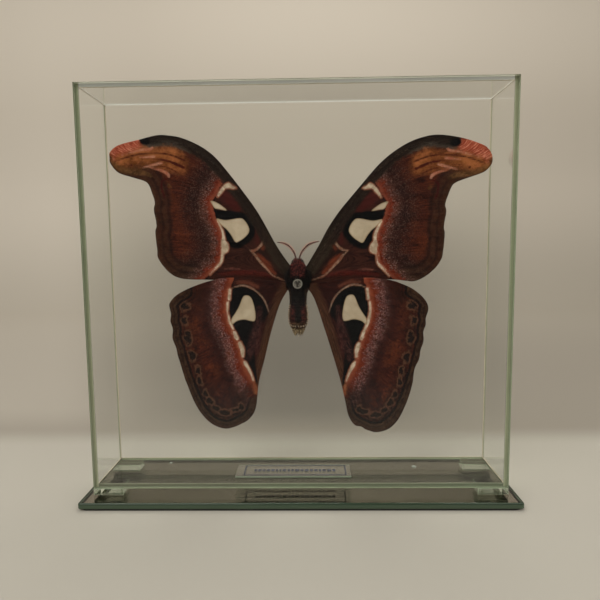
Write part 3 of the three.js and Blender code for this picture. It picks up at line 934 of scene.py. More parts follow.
def write_fields(mesh, kind, right, pairs):
    """Stores the wing's distances and its run of scales on the mesh, for its material to read."""
    co = np.empty(len(mesh.vertices) * 3)
    mesh.vertices.foreach_get("co", co)
    co = co.reshape(-1, 3) / MM
    places = co[:, (0, 2)] - (0, THORAX_CENTRE.z / MM)
    left = to_left(places, pairs) if right else places
    for name, values in wing_fields(left, kind).items():
        data = mesh.attributes.new(name, "FLOAT", "POINT").data
        data.foreach_set("value", values.astype(np.float32))
    run = vein_run(left, kind)
    reach = np.hypot(left[:, 0] + 4, left[:, 1] - 3)
    flow = np.column_stack([reach * 0.14, run * 10, np.full(len(reach), 3.0 if right else 0.0)])
    data = mesh.attributes.new("flow", "FLOAT_VECTOR", "POINT").data
    data.foreach_set("vector", flow.astype(np.float32).ravel())


def build_scale_texture(tree, place, flow):
    """Streaks along the veins, patches, mottling and grain, and how far they fray the edge of a mark."""
    streak = tree.noise(flow, 1.1, 4.0, 0.65)
    hatch = tree.noise(flow, 4.2, 3.0, 0.75)
    patchy = tree.noise(place, 120.0, 4.0, 0.65)
    mottle = tree.noise(place, 420.0, 3.0, 0.65)
    grain = tree.noise(place, 1500.0, 2.0, 0.7)
    rough = tree.plus(tree.minus(hatch, 0.5), tree.minus(mottle, 0.5))
    speck = tree.times(tree.minus(grain, 0.5), 0.8)
    return streak, hatch, patchy, mottle, grain, tree.plus(rough, speck)


SCALE_TEXTURE = shared_effect(
    "scale_texture", (("Place", "vector"), ("Flow", "vector")),
    tuple((label, "value") for label in ("Streak", "Hatch", "Patchy", "Mottle", "Grain", "Ragged")),
    build_scale_texture,
)


def build_scale_relief(tree, place, hatch, grain, clear):
    """Rows of fine scales, and the smoother clear membrane of the windows."""
    rough = tree.plus(0.74, tree.times(grain, 0.2))
    rows = tree.cells(tree.scaled(place, (1, 1, 0.55)), 4200.0)
    height = tree.plus(tree.times(rows, 0.6), tree.plus(hatch, grain))
    return tree.minus(rough, tree.times(clear, 0.4)), tree.bump(height, 0.35, 0.0003)


SCALE_RELIEF = shared_effect(
    "scale_relief", (("Place", "vector"), ("Hatch", "value"), ("Grain", "value"), ("Clear", "value")),
    (("Roughness", "value"), ("Normal", "vector")), build_scale_relief,
)


class WingPaint:
    """The shared start of both wing materials: streaks, mottling, grain and feathered edges."""

    def __init__(self, name):
        self.material, self.tree, self.shader, self.output = new_material(name)
        tree = self.tree
        self.place = tree.place()
        made = tree.shared(SCALE_TEXTURE, self.place, tree.attribute("flow", "Vector"))
        self.streak, self.hatch, self.patchy, self.mottle, self.grain, self.ragged = made
        self.colour = None

    def distance(self, name, ragged=0.5):
        """A mark's distance in millimetres with its edge feathered by the scales."""
        return self.feathered(self.tree.attribute(name), ragged)

    def feathered(self, value, ragged):
        return self.tree.plus(value, self.tree.times(self.ragged, ragged))

    def tones(self, dark, light, by=None, low=0.35, high=0.68):
        share = self.tree.smooth(by or self.streak, low, high)
        return self.tree.mix(share, scale_colour(*dark), scale_colour(*light))

    def band(self, value, rise_from, rise_to, fall_from, fall_to):
        """One between the middle pair of values, and fading to nought at the outer pair."""
        tree = self.tree
        return self.both(tree.smooth(value, rise_from, rise_to), tree.smooth(value, fall_to, fall_from))

    def both(self, a, b):
        return self.tree.times(a, b)

    def over(self, mask, colour, amount=1.0):
        """Paints a colour over what is there, where the mask is one."""
        if not isinstance(colour, bpy.types.NodeSocket):
            colour = scale_colour(*colour)
        if amount != 1.0:
            mask = self.tree.times(mask, amount)
        self.colour = self.tree.mix(mask, self.colour, colour)

    def mark(self, name, colour, ragged=0.5, edge=0.25, amount=1.0):
        """Paints a mark and its soft edge."""
        self.over(self.tree.smooth(self.distance(name, ragged), edge, -edge), colour, amount)

    def pale_line(self, outer):
        """The broken pale line: sharp towards the body and feathered on the other side."""
        tree = self.tree
        reach = tree.plus(0.35, tree.times(tree.smooth(outer, -0.5, 0.5), 2.2))
        edge = tree.plus(tree.attribute("white"), tree.times(self.ragged, reach))
        worn = tree.plus(edge, tree.times(tree.minus(self.patchy, 0.5), 1.6))
        self.over(tree.smooth(worn, 0.8, 0.0), (146, 88, 66), 0.7)
        self.over(tree.smooth(worn, 0.15, -0.35), self.tones((150, 130, 110), (190, 174, 152), self.mottle))

    def finish(self, window):
        """Clear membrane in the windows and rows of fine scales over all the rest."""
        tree, shader = self.tree, self.shader
        self.over(tree.smooth(window, 0.0, -0.35), (164, 140, 110))
        cream = self.tones((180, 162, 136), (196, 179, 154), self.patchy)
        self.over(tree.smooth(window, -0.35, -0.75), cream)
        clear = tree.smooth(window, -0.1, -0.4)
        rough, normal = tree.shared(SCALE_RELIEF, self.place, self.hatch, self.grain, clear)
        dress(tree, shader, self.colour, rough, normal, 0.1)
        tree.put(shader.inputs["Alpha"], tree.minus(1.0, tree.times(clear, 0.4)))
        shader.inputs["Sheen Weight"].default_value = 0.02
        shader.inputs["Sheen Roughness"].default_value = 0.5
        return self.material


def forewing_material():
    paint = WingPaint("forewing_scales")
    tree, band, both, over, tones = paint.tree, paint.band, paint.both, paint.over, paint.tones
    plain = tree.attribute("outer")
    outer, frayed = paint.distance("outer", 1.5), paint.distance("outer", 6.0)
    basal, costa = paint.distance("basal", 0.5), paint.distance("costa", 2.2)
    margin, window = paint.distance("margin", 1.2), paint.distance("window", 0.12)
    ochre, blush = paint.distance("ochre", 4.0), paint.distance("blush", 2.6)

    # Outer field: maroon brown, rusty in its middle and dark along the frost
    paint.colour = tones((40, 22, 17), (76, 36, 24))
    over(tree.smooth(paint.patchy, 0.42, 0.66), (86, 42, 26), 0.5)
    over(tree.smooth(paint.hatch, 0.52, 0.66), (100, 50, 32), 0.42)
    over(tree.smooth(paint.grain, 0.5, 0.34), (24, 14, 12), 0.45)
    over(band(frayed, 3.0, 6.5, 9.0, 18.0), (34, 24, 22), 0.75)
    over(both(band(frayed, 4.0, 9.0, 12.0, 20.0), tree.smooth(paint.grain, 0.5, 0.7)), (100, 78, 71), 0.36)

    # Brown margin with two dark lines that waver along it
    over(tree.smooth(margin, 9.5, 6.0), tones((40, 27, 20), (56, 39, 29), paint.mottle), 0.7)
    over(band(margin, 5.8, 6.8, 7.2, 8.8), (28, 17, 14), 0.55)
    over(band(margin, 2.4, 3.1, 3.5, 4.4), (30, 20, 16), 0.5)
    over(tree.smooth(margin, 1.4, 0.5), (64, 46, 35), 0.5)

    # Pink frost, the red band and its paler inner edge
    over(both(band(frayed, 0.5, 2.5, 4.5, 8.0), tree.smooth(paint.hatch, 0.44, 0.62)), (100, 66, 58), 0.6)
    over(both(band(frayed, 0.5, 2.5, 4.5, 9.0), tree.smooth(paint.grain, 0.5, 0.7)), (148, 114, 105), 0.5)
    red = both(tree.smooth(outer, -0.9, -0.5), tree.smooth(frayed, 3.4, 1.6))
    over(red, tones((74, 28, 18), (122, 52, 36), paint.hatch))
    over(band(outer, -0.9, -0.4, 0.2, 1.3), (136, 80, 60), 0.35)

    # Inner field: maroon between the leading edge and the windows, black round them
    inner = tree.smooth(outer, -0.55, -0.95)
    over(inner, tones((32, 20, 16), (60, 34, 27)))
    over(both(inner, tree.smooth(paint.hatch, 0.52, 0.68)), (82, 46, 38), 0.4)
    over(both(inner, tree.smooth(paint.distance("maroon", 1.6), 1.8, -1.4)), (64, 28, 25), 0.9)
    over(both(inner, tree.smooth(outer, -2.4, -1.0)), (24, 17, 14), 0.7)
    over(both(inner, tree.smooth(paint.distance("ring", 1.0), 3.8, 2.2)), (18, 13, 12))
    paint.mark("gap", (17, 13, 11), 0.6, 0.5)
    paint.mark("crimson", tones((58, 24, 21), (92, 36, 31), paint.hatch), 1.6, 0.9, 0.85)
    paint.mark("rose_streak", (118, 70, 60), 1.0, 0.5, 0.75)

    # Base of the wing: black, with a hooked pale line and the orange side of it
    over(tree.smooth(basal, -0.2, 0.3), tones((26, 19, 17), (50, 32, 25)))
    paint.mark("orange", tones((84, 38, 26), (118, 58, 38), paint.hatch), 1.6, 0.9, 0.85)
    paint.mark("hooked", tones((120, 76, 58), (164, 134, 112), paint.mottle), 1.4, 0.35, 0.85)

    # Leading edge: nearly black with fine grey flecks, greyest beside the tip's ochre
    edge = both(tree.smooth(costa, 6.4, 4.4), tree.smooth(paint.distance("blush", 0.5), -0.5, 0.8))
    over(edge, tones((31, 25, 20), (76, 64, 52), paint.hatch, 0.42, 0.7), 0.95)
    near_tip = both(tree.smooth(paint.distance("ochre", 0.5), 3.2, 0.6), band(costa, 1.6, 2.8, 5.0, 6.6))
    over(both(near_tip, edge), tones((62, 54, 46), (116, 106, 94), paint.hatch), 0.75)
    over(tree.smooth(costa, 1.8, 0.4), (30, 24, 19), 0.6)
    near_body = tree.smooth(basal, 6.0, -2.0)
    over(both(edge, near_body), (24, 18, 15), 0.55)

    # Tip: ochre streaks running into red, dark curves, pale petals and an olive edge
    over(tree.smooth(ochre, 1.4, -3.6), tones((88, 48, 24), (146, 88, 50), paint.patchy))
    over(both(tree.smooth(ochre, 0.4, -2.0), tree.smooth(paint.hatch, 0.5, 0.66)), (158, 94, 60), 0.45)
    over(tree.smooth(blush, 1.6, -2.0), tones((112, 42, 30), (172, 88, 64), paint.hatch))
    over(both(tree.smooth(blush, 0.6, -1.6), tree.smooth(paint.streak, 0.5, 0.6)), (204, 132, 106), 0.7)
    over(both(tree.smooth(blush, 0.2, -1.2), tree.smooth(paint.mottle, 0.54, 0.66)), (120, 50, 34), 0.5)
    over(both(tree.smooth(margin, 3.2, 0.8), tree.smooth(ochre, 0.8, -0.8)), (96, 62, 34), 0.6)
    paint.mark("olive", tones((66, 46, 26), (116, 80, 48), paint.mottle), 1.6, 0.8, 0.6)
    over(both(tree.smooth(margin, 1.5, 0.3), tree.smooth(ochre, 1.5, -0.5)), (52, 38, 24), 0.75)
    paint.mark("dark_line", (56, 18, 12), 0.5, 0.35, 0.9)
    paint.mark("petal", tones((150, 88, 66), (182, 132, 108), paint.mottle), 0.7, 0.45, 0.85)
    paint.mark("soot", (14, 12, 11), 1.0, 0.6)

    # Pale line, veins and windows
    paint.pale_line(plain)
    paint.mark("vein", (34, 20, 16), 0.2, 0.2, 0.32)
    return paint.finish(window)


def hindwing_material():
    paint = WingPaint("hindwing_scales")
    tree, band, both, over, tones = paint.tree, paint.band, paint.both, paint.over, paint.tones
    plain = tree.attribute("outer")
    outer, frayed = paint.distance("outer", 1.5), paint.distance("outer", 6.0)
    margin, window = paint.distance("margin", 1.5), paint.distance("window", 0.12)
    black, loop = paint.distance("black", 1.0), paint.distance("loop", 2.2)
    inner_edge = paint.distance("inner", 1.8)

    # Outer field: rust and maroon in uneven patches, dark along the frost
    paint.colour = tones((42, 23, 19), (72, 34, 25))
    over(tree.smooth(paint.patchy, 0.44, 0.64), (94, 46, 27), 0.55)
    over(tree.smooth(paint.hatch, 0.52, 0.66), (108, 52, 36), 0.42)
    over(tree.smooth(paint.mottle, 0.54, 0.66), (30, 19, 19), 0.55)
    over(tree.smooth(paint.grain, 0.5, 0.34), (24, 14, 13), 0.45)
    over(band(frayed, 5.0, 8.5, 10.0, 17.0), (38, 24, 23), 0.7)
    frost = band(frayed, 0.5, 3.0, 5.5, 10.5)
    over(both(frost, tree.smooth(paint.hatch, 0.44, 0.62)), (118, 78, 76), 0.66)
    over(both(frost, tree.smooth(paint.grain, 0.5, 0.66)), (156, 122, 116), 0.5)
    red = both(tree.smooth(outer, -1.0, -0.6), tree.smooth(frayed, 4.4, 2.2))
    over(red, tones((78, 29, 19), (114, 50, 33), paint.hatch))
    over(band(outer, -1.0, -0.5, 0.4, 1.8), (146, 84, 60), 0.32)

    # Dark mottled foot, dark loops in a dusky zone, a black line that wavers, and a brown margin
    x, _, z = tree.axes(paint.place)
    aside = tree.math("ABSOLUTE", x)
    foot = tree.smooth(z, THORAX_CENTRE.z - 0.046, THORAX_CENTRE.z - 0.06)
    over(both(foot, tree.smooth(paint.mottle, 0.42, 0.52)), (30, 24, 25), 0.75)
    over(both(foot, tree.smooth(paint.hatch, 0.5, 0.62)), (78, 44, 38), 0.45)
    over(tree.smooth(margin, 13.0, 8.0), (34, 22, 18), 0.55)
    over(tree.smooth(loop, 0.8, 0.2), (92, 62, 47), 0.65)
    over(tree.smooth(loop, 0.0, -0.5), (18, 13, 12), 0.9)
    reach = tree.smooth(aside, 0.022, 0.028)
    over(both(reach, band(margin, 5.2, 5.7, 6.0, 6.6)), (20, 14, 12), 0.45)
    over(both(reach, band(margin, 3.0, 3.6, 4.3, 4.9)), (18, 13, 11), 0.85)
    over(tree.smooth(margin, 3.7, 3.1), tones((40, 28, 21), (66, 47, 35), paint.mottle), 0.8)
    over(both(reach, band(margin, 1.3, 1.8, 2.0, 2.6)), (28, 20, 15), 0.6)

    # Inner field: dark, reddish towards the leading edge, brown along the inner edge
    inner = tree.smooth(outer, -0.6, -1.0)
    over(inner, tones((24, 14, 12), (50, 25, 21)))
    over(both(inner, tree.smooth(paint.hatch, 0.5, 0.66)), (80, 40, 32), 0.35)
    over(both(inner, tree.smooth(inner_edge, 5.0, 2.0)), tones((42, 27, 20), (84, 54, 40)))
    over(tree.smooth(black, 0.7, -0.4), (19, 14, 12))
    rays = both(tree.smooth(paint.distance("maroon", 2.0), 2.2, 0.0), tree.smooth(paint.hatch, 0.44, 0.6))
    over(both(rays, inner), tones((58, 30, 29), (98, 58, 54), paint.mottle), 0.85)
    paint.mark("orange", tones((86, 44, 34), (118, 70, 54), paint.hatch), 2.0, 1.0, 0.8)
    paint.mark("hooked", tones((118, 84, 68), (160, 132, 112), paint.mottle), 0.8, 0.3, 0.85)

    # Pale line, its orange foot, veins and windows
    paint.pale_line(plain)
    paint.mark("amber", tones((112, 54, 34), (158, 98, 64), paint.mottle), 1.8, 0.9, 0.85)
    paint.mark("vein", (38, 22, 17), 0.2, 0.2, 0.32)
    return paint.finish(window)


def make_wings():
    fore, hind = forewing_material(), hindwing_material()
    make_wing("left_forewing", LEFT_FOREWING, "forewing", FOREWING_SET_BACK, fore)
    make_wing("right_forewing", RIGHT_FOREWING, "forewing", FOREWING_SET_BACK, fore)
    make_wing("left_hindwing", LEFT_HINDWING, "hindwing", HINDWING_SET_BACK, hind)
    make_wing("right_hindwing", RIGHT_HINDWING, "hindwing", HINDWING_SET_BACK, hind)


# Body, legs, eyes and antennae


def tube(bm, path, radii, sides=8):
    """A closed tube along a path, swept from ring to ring."""
    last = None
    for i, (place, radius) in enumerate(zip(path, radii)):
        ahead = path[min(i + 1, len(path) - 1)] - path[max(i - 1, 0)]
        turn = ahead.to_track_quat("Z", "Y").to_matrix().to_4x4()
        ring = bmesh.ops.create_circle(
            bm, segments=sides, radius=radius, cap_ends=i in (0, len(path) - 1),
            matrix=Matrix.Translation(place) @ turn,
        )
        edges = list({edge for vertex in ring["verts"] for edge in vertex.link_edges})
        if last:
            bmesh.ops.bridge_loops(bm, edges=last + edges)
        last = edges


def unit(rows):
    return rows / np.linalg.norm(rows, axis=1, keepdims=True)


def strands_piece(name, material, roots, tips, bend, width, tones):
    """Many fine curved hairs in one mesh, each of a root ring, a middle ring and a tip."""
    along = tips - roots
    steep = np.abs(along[:, 2:3]) > 0.8 * np.linalg.norm(along, axis=1, keepdims=True)
    u = unit(np.cross(along, np.where(steep, (1, 0, 0), (0, 0, 1))))
    v = unit(np.cross(along, u))
    middle = (roots + tips) / 2 + bend
    width = np.broadcast_to(width, len(roots))[:, None]
    rings = []
    for centre, share in ((roots, 1.0), (middle, 0.75)):
        for k in range(3):
            turn = 2 * math.pi * k / 3
            rings.append(centre + (u * math.cos(turn) + v * math.sin(turn)) * width * share)
    vertices = np.stack(rings + [tips], axis=1)
    pattern = [(0, 1, 4, 3), (1, 2, 5, 4), (2, 0, 3, 5), (3, 4, 6), (4, 5, 6), (5, 3, 6), (2, 1, 0)]
    count = len(roots)
    corners = np.concatenate([np.array(face) for face in pattern])
    corners = (corners[None] + 7 * np.arange(count)[:, None]).ravel()
    sizes = np.tile([len(face) for face in pattern], count)
    starts = np.concatenate([[0], np.cumsum(sizes)[:-1]])
    mesh = bpy.data.meshes.new(name)
    mesh.vertices.add(7 * count)
    mesh.vertices.foreach_set("co", (vertices * MM).astype(np.float32).ravel())
    mesh.loops.add(len(corners))
    mesh.loops.foreach_set("vertex_index", corners.astype(np.int32))
    mesh.polygons.add(len(sizes))
    mesh.polygons.foreach_set("loop_start", starts.astype(np.int32))
    mesh.update(calc_edges=True)
    tone = mesh.attributes.new("tone", "FLOAT", "POINT").data
    tone.foreach_set("value", np.repeat(tones, 7).astype(np.float32))
    mesh.transform(Matrix.Translation(THORAX_CENTRE))
    return piece_of(mesh, name, (material,))


RING_PITCH = 2.55


def build_body_colours(tree, place, tone):
    """Colours of the body by height and width: maroon head, black back, maroon flanks, a golden tuft and
    painted highlights round the rings of the abdomen.
    """
    x, _, z = tree.axes(place)
    grain = tree.noise(place, 900.0, 3.0)
    speck = tree.noise(place, 1250.0, 2.0)
    shift = tree.times(tree.minus(grain, 0.5), 0.003)
    bare = tree.minus(z, THORAX_CENTRE.z)
    height = tree.plus(bare, shift)
    width = tree.plus(tree.math("ABSOLUTE", x), tree.times(shift, 0.5))
    flecks = tree.times(tree.smooth(speck, 0.48, 0.64), 0.9)
    tone = tree.plus(tree.times(tone, 0.35), flecks)
    black = tree.mix(tone, (0.001, 0.0006, 0.0005, 1), (0.018, 0.009, 0.007, 1))
    maroon = tree.mix(tone, (0.012, 0.002, 0.002, 1), (0.26, 0.05, 0.04, 1))
    brown = tree.mix(tone, (0.014, 0.006, 0.004, 1), (0.24, 0.12, 0.06, 1))
    tan = tree.mix(tone, (0.1, 0.045, 0.018, 1), (1.0, 0.78, 0.46, 1))
    # Painted highlight: a paler line round each ring of the abdomen.
    wavy = tree.plus(bare, tree.times(shift, 0.15))
    ripple = tree.math("SINE", tree.times(wavy, 2 * math.pi / (RING_PITCH * MM)))
    ring = tree.smooth(ripple, 0.55, 0.95)
    head = tree.times(tree.smooth(height, 0.0026, 0.0048), tree.smooth(width, 0.0042, 0.003))
    head = tree.math("MAXIMUM", head, tree.smooth(height, 0.0072, 0.0086))
    colour = tree.mix(head, black, maroon)
    belly = tree.smooth(height, -0.003, -0.0045)
    ring_highlight = tree.times(tree.times(ring, belly), tree.smooth(grain, 0.36, 0.58))
    colour = tree.mix(ring_highlight, colour, (0.02, 0.014, 0.012, 1))
    flank = tree.times(tree.smooth(width, 0.0008, 0.0024), tree.smooth(height, -0.0095, -0.0125))
    colour = tree.mix(tree.times(flank, 0.8), colour, maroon)
    waist = tree.times(tree.smooth(width, 0.0028, 0.0042), tree.smooth(height, -0.001, -0.004))
    colour = tree.mix(tree.times(waist, 0.5), colour, brown)
    colour = tree.mix(tree.smooth(height, -0.0178, -0.02), colour, brown)
    return (tree.mix(tree.smooth(height, -0.0219, -0.0227), colour, tan),)


BODY_COLOURS = shared_effect(
    "body_colours", (("Place", "vector"), ("Tone", "value")), (("Color", "colour"),), build_body_colours,
)


def fur_material():
    material, tree, shader, _ = new_material("body_fur")
    colour, = tree.shared(BODY_COLOURS, tree.place(), tree.attribute("tone"))
    grained(tree, shader, 2600.0, 0.55, 0.3)
    dress(tree, shader, colour, shine=0.2)
    return material


def skin_material():
    material, tree, shader, _ = new_material("body_skin")
    fine = grained(tree, shader, 1500.0, 0.55, 0.4, 0.0002)
    colour, = tree.shared(BODY_COLOURS, tree.place(), fine)
    dress(tree, shader, tree.mix(0.45, colour, (0.004, 0.003, 0.003, 1)), shine=0.2)
    return material


def horn_material(name, dark, light):
    material, tree, shader, _ = new_material(name)
    fine = grained(tree, shader, 1700.0, 0.45, 0.35)
    dress(tree, shader, tree.mix(tree.smooth(fine, 0.3, 0.7), dark, light))
    return material


GROOVE_WIDTH = 0.28
GROOVE_DEPTH = 0.05


def body_radius(height):
    """Radius of the trunk at each height, with shallow grooves between the rings of the abdomen."""
    curve = spline(BODY_PROFILE[::-1], 8)
    radius = np.interp(height, curve[:, 1], curve[:, 0])
    below = np.clip(-3.5 - height, 0, 18) / RING_PITCH
    across = (below - np.round(below)) * RING_PITCH / GROOVE_WIDTH
    groove = np.exp(-(across**2)) * (below > 0.4) * (height > -23)
    return radius * (1 - GROOVE_DEPTH * groove)


def make_body():
    heights = np.concatenate([[-24.2, -24.1], np.linspace(-23.9, 12.1, 150), [12.3, 12.4]])
    bm = bmesh.new()
    rim = [bm.verts.new((r * MM, 0, z * MM)) for r, z in zip(body_radius(heights), heights)]
    edges = [bm.edges.new(pair) for pair in zip(rim, rim[1:])]
    bmesh.ops.spin(
        bm, geom=rim + edges, cent=(0, 0, 0), axis=(0, 0, 1), dvec=(0, 0, 0), angle=2 * math.pi, steps=40,
        use_merge=True, use_duplicate=False,
    )
    bmesh.ops.remove_doubles(bm, verts=bm.verts, dist=1e-6)
    bmesh.ops.recalc_face_normals(bm, faces=bm.faces)
    bmesh.ops.scale(bm, vec=(1, BODY_FLATNESS, 1), verts=bm.verts)
    bmesh.ops.translate(bm, vec=THORAX_CENTRE, verts=bm.verts)
    piece_from(bm, "moth_trunk", (skin_material(),), ("moth_body",))
    fur = fur_material()
    make_fur(fur)
    make_eyes()
    make_legs(fur)


FUR_LENGTH = [
    (-25, 2.2), (-23.4, 2.2), (-22.6, 1.3), (-21.6, 0.6), (-4, 0.75), (-1.5, 1.2), (1, 1.4), (6, 1.2),
    (9, 0.9),
    (12.4, 0.8),
]


FUR_COUNT = 15000
ROOT_HAIR_COUNT = 2600


def make_fur(fur):
    chooser = np.random.default_rng(4)
    height = chooser.uniform(-24.1, 12.3, 3 * FUR_COUNT)
    keep = chooser.uniform(0, 5.2, 3 * FUR_COUNT) < body_radius(height) + 0.8
    height = height[keep][:FUR_COUNT]
    turn = chooser.uniform(0, 2 * math.pi, len(height))
    radius = body_radius(height)
    outward = np.column_stack([np.cos(turn), np.sin(turn) * BODY_FLATNESS, np.zeros(len(height))])
    roots = outward * (radius - 0.12)[:, None]
    roots[:, 2] = height
    slope = (body_radius(height + 0.4) - body_radius(height - 0.4)) / 0.8
    normal = outward.copy()
    normal[:, 2] = -np.clip(slope, -3, 3)
    normal = unit(normal)
    down = np.column_stack([np.zeros((len(height), 2)), np.full(len(height), -1.0)])
    lean = np.where(height < -2, 1.6, 0.8) + chooser.normal(0, 0.35, len(height))
    lean = np.where(height < -22.2, 3.0, lean)
    points = np.array(FUR_LENGTH)
    length = np.interp(height, points[:, 0], points[:, 1]) * chooser.uniform(0.5, 1.3, len(height))
    length = length * np.where(height < -22.6, chooser.uniform(0.3, 1.25, len(height)), 1.0)
    clump = np.sin(turn * 9 + height * 2.1) * np.sin(height * 4.3 + turn * 5)
    stray = chooser.normal(0, 0.26, (len(height), 3))
    way = unit(normal * (1 + 0.25 * clump)[:, None] + down * lean[:, None] + stray)
    tips = roots + way * length[:, None]
    bend = normal * (length * 0.16)[:, None]
    tones = np.clip(chooser.beta(1.0, 2.6, len(height)) + 0.25 * np.maximum(clump, 0), 0, 1)
    width = chooser.uniform(0.05, 0.09, len(height)) * np.where(height < -22.2, 1.5, 1.0)
    strands_piece("body_hairs", fur, roots, tips, bend, width, tones)
    make_flank_dots(chooser)
    make_root_hairs(chooser, fur)


def make_flank_dots(chooser):
    """Small pale tufts down both flanks of the abdomen and round its last ring."""
    places = [(side, -10.6 - 0.95 * k) for side in (-1, 1) for k in range(10)]
    places += [(math.sin(turn), -20 - 0.8 * math.cos(turn)) for turn in np.linspace(-1.4, 1.4, 9)]
    roots, tips = [], []
    for share, height in places:
        for _ in range(9):
            at = height + chooser.normal(0, 0.12)
            radius = float(body_radius(at))
            x = share * radius * 0.93 + chooser.normal(0, 0.08)
            y = -math.sqrt(max(radius**2 - x**2, 0.3)) * BODY_FLATNESS
            roots.append((x, y, at))
            tips.append((x * 1.2, y * 1.1 - 0.5, at - 0.35))
    roots, tips = np.array(roots), np.array(tips)
    pale = horn_material("pale_tufts", (0.34, 0.22, 0.13, 1), (0.7, 0.55, 0.4, 1))
    strands_piece("flank_tufts", pale, roots, tips, 0, 0.13, chooser.uniform(0, 1, len(roots)))


def make_root_hairs(chooser, fur):
    """Longer hairs that lie from the thorax over the roots of the wings."""
    count = ROOT_HAIR_COUNT
    side = np.where(np.arange(count) % 2, 1.0, -1.0)
    height = chooser.uniform(-1.6, 5.6, count)
    front = np.where(chooser.uniform(0, 1, count) < 0.6, -1.0, 1.0)
    depth = front * chooser.uniform(0.9, 2.6, count)
    x = np.sqrt(np.clip((body_radius(height) - 0.2) ** 2 - depth**2, 4, None))
    roots = np.column_stack([side * x, depth, height])
    length = chooser.uniform(0.9, 3.0, count)
    rise = chooser.normal(0.0, 0.3, count) + (height - 3) * 0.16
    way = unit(np.column_stack([side, -depth * 0.22, rise]))
    tips = roots + way * length[:, None]
    bend = np.column_stack([np.zeros(count), front * 0.12, np.full(count, 0.05)])
    tones = chooser.beta(1.0, 2.8, count)
    width = chooser.uniform(0.04, 0.065, count)
    strands_piece("wing_root_hairs", fur, roots, tips, bend, width, tones)


EYE_RADIUS = 1.25
EYE_PLACE = (2.1, -0.2, 10.6)


def make_eyes():
    bm = bmesh.new()
    aside, back, up = EYE_PLACE
    for side in (-1, 1):
        centre = Vector((side * aside, back, up)) * MM + THORAX_CENTRE
        points = bmesh.ops.create_icosphere(bm, subdivisions=4, radius=EYE_RADIUS * MM)["verts"]
        bmesh.ops.scale(bm, vec=(0.8, 1.05, 1), verts=points)
        bmesh.ops.translate(bm, vec=centre, verts=points)
    material, tree, shader, _ = new_material("eye")
    facets = tree.cells(tree.place(), 5200.0)
    colour = tree.mix(facets, (0.02, 0.012, 0.008, 1), (0.006, 0.004, 0.003, 1))
    dress(tree, shader, colour, tree.range(facets, 0.16, 0.25), tree.bump(facets, 0.3, 0.00005))
    piece_from(bm, "eyes", (material,))


LEGS = [
    [(-2, 3.2, 5.6), (-5, 6.2, 8.6), (-2.6, 7.2, 2.4), (-1.9, 7.6, 0.4)],
    [(-2.2, 3.4, 2.4), (-5.8, 6.4, 4.2), (-3, 7.6, -3.2), (-2.2, 7.9, -5.4)],
    [(-2.2, 3.2, -0.6), (-5.6, 6, -1.4), (-2.4, 6.8, -9.6), (-1.8, 7, -12)],
]
LEG_RADII = (0.62, 0.46, 0.28)
LEG_HAIRS = 70


def make_legs(fur):
    bm = bmesh.new()
    chooser = np.random.default_rng(9)
    roots, tips = [], []
    for side in (1, -1):
        for leg in LEGS:
            joints = [Vector((side * x, y, z)) for x, y, z in leg]
            for start, end, radius in zip(joints, joints[1:], LEG_RADII):
                path = [start.lerp(end, t) * MM + THORAX_CENTRE for t in (0, 0.15, 0.5, 0.85, 1)]
                tube(bm, path, [r * radius * MM for r in (0.6, 1, 1.05, 0.8, 0.5)])
                for _ in range(LEG_HAIRS):
                    at = start.lerp(end, chooser.uniform(0, 1))
                    way = Vector(chooser.normal(0, 1, 3)).normalized()
                    roots.append(at)
                    tips.append(at + way * (radius + 0.5) + (end - start).normalized() * 0.5)
    bmesh.ops.recalc_face_normals(bm, faces=bm.faces)
    leg = horn_material("leg_horn", (0.03, 0.012, 0.01, 1), (0.12, 0.045, 0.03, 1))
    piece_from(bm, "legs", (leg,))
    roots, tips = np.array([tuple(v) for v in roots]), np.array([tuple(v) for v in tips])
    strands_piece("leg_hairs", fur, roots, tips, 0, 0.035, chooser.beta(1.4, 2, len(roots)))


ANTENNA_SHAFTS = {
    "left_antenna": [(-0.8, 12.0), (-1.1, 13.6), (-2.2, 16.2), (-4.5, 18.8), (-7.1, 20), (-9.8, 20.4)],
    "right_antenna": [(0.9, 12.0), (1.2, 13.6), (2.5, 16.2), (4.9, 18.8), (7.8, 20.1), (10.6, 20.6)],
}
ANTENNA_COMB = 1.25
ANTENNA_TEETH = 78
ANTENNA_Y = -1.05


def make_antennae():
    shaft = horn_material("antenna_shaft", (0.05, 0.018, 0.014, 1), (0.12, 0.05, 0.036, 1))
    comb = horn_material("antenna_comb", (0.34, 0.16, 0.12, 1), (0.56, 0.31, 0.24, 1))
    chooser = np.random.default_rng(2)
    for name, shaft_line in ANTENNA_SHAFTS.items():
        line = spline(shaft_line, 12)
        path = [Vector((x, ANTENNA_Y, z)) * MM + THORAX_CENTRE for x, z in line]
        bm = bmesh.new()
        tube(bm, path, [(0.46 - 0.28 * i / (len(path) - 1)) * MM for i in range(len(path))])
        bmesh.ops.recalc_face_normals(bm, faces=bm.faces)
        piece_from(bm, name + "_shaft", (shaft,), (name,))
        steps = np.hypot(*np.diff(line, axis=0).T)
        along = np.concatenate([[0], np.cumsum(steps)])
        at = np.linspace(0.12, 0.995, ANTENNA_TEETH)
        centre = np.column_stack([np.interp(at * along[-1], along, line[:, k]) for k in (0, 1)])
        tangent = unit(np.gradient(centre, axis=0))
        across = np.column_stack([-tangent[:, 1], tangent[:, 0]])
        roots, tips = [], []
        for hand in (-1, 1):
            reach = ANTENNA_COMB * np.sin(np.pi * at) ** 0.6 * chooser.uniform(0.9, 1.05, len(at))
            end = centre + (across * hand * 0.86 + tangent * 0.5) * reach[:, None]
            roots.append(np.column_stack([centre[:, 0], np.full(len(at), ANTENNA_Y), centre[:, 1]]))
            tips.append(np.column_stack([end[:, 0], ANTENNA_Y - 0.12 * reach, end[:, 1]]))
        roots, tips = np.vstack(roots), np.vstack(tips)
        tones = chooser.uniform(0, 1, len(roots))
        strands_piece(name + "_comb", comb, roots, tips, 0, 0.08, tones)


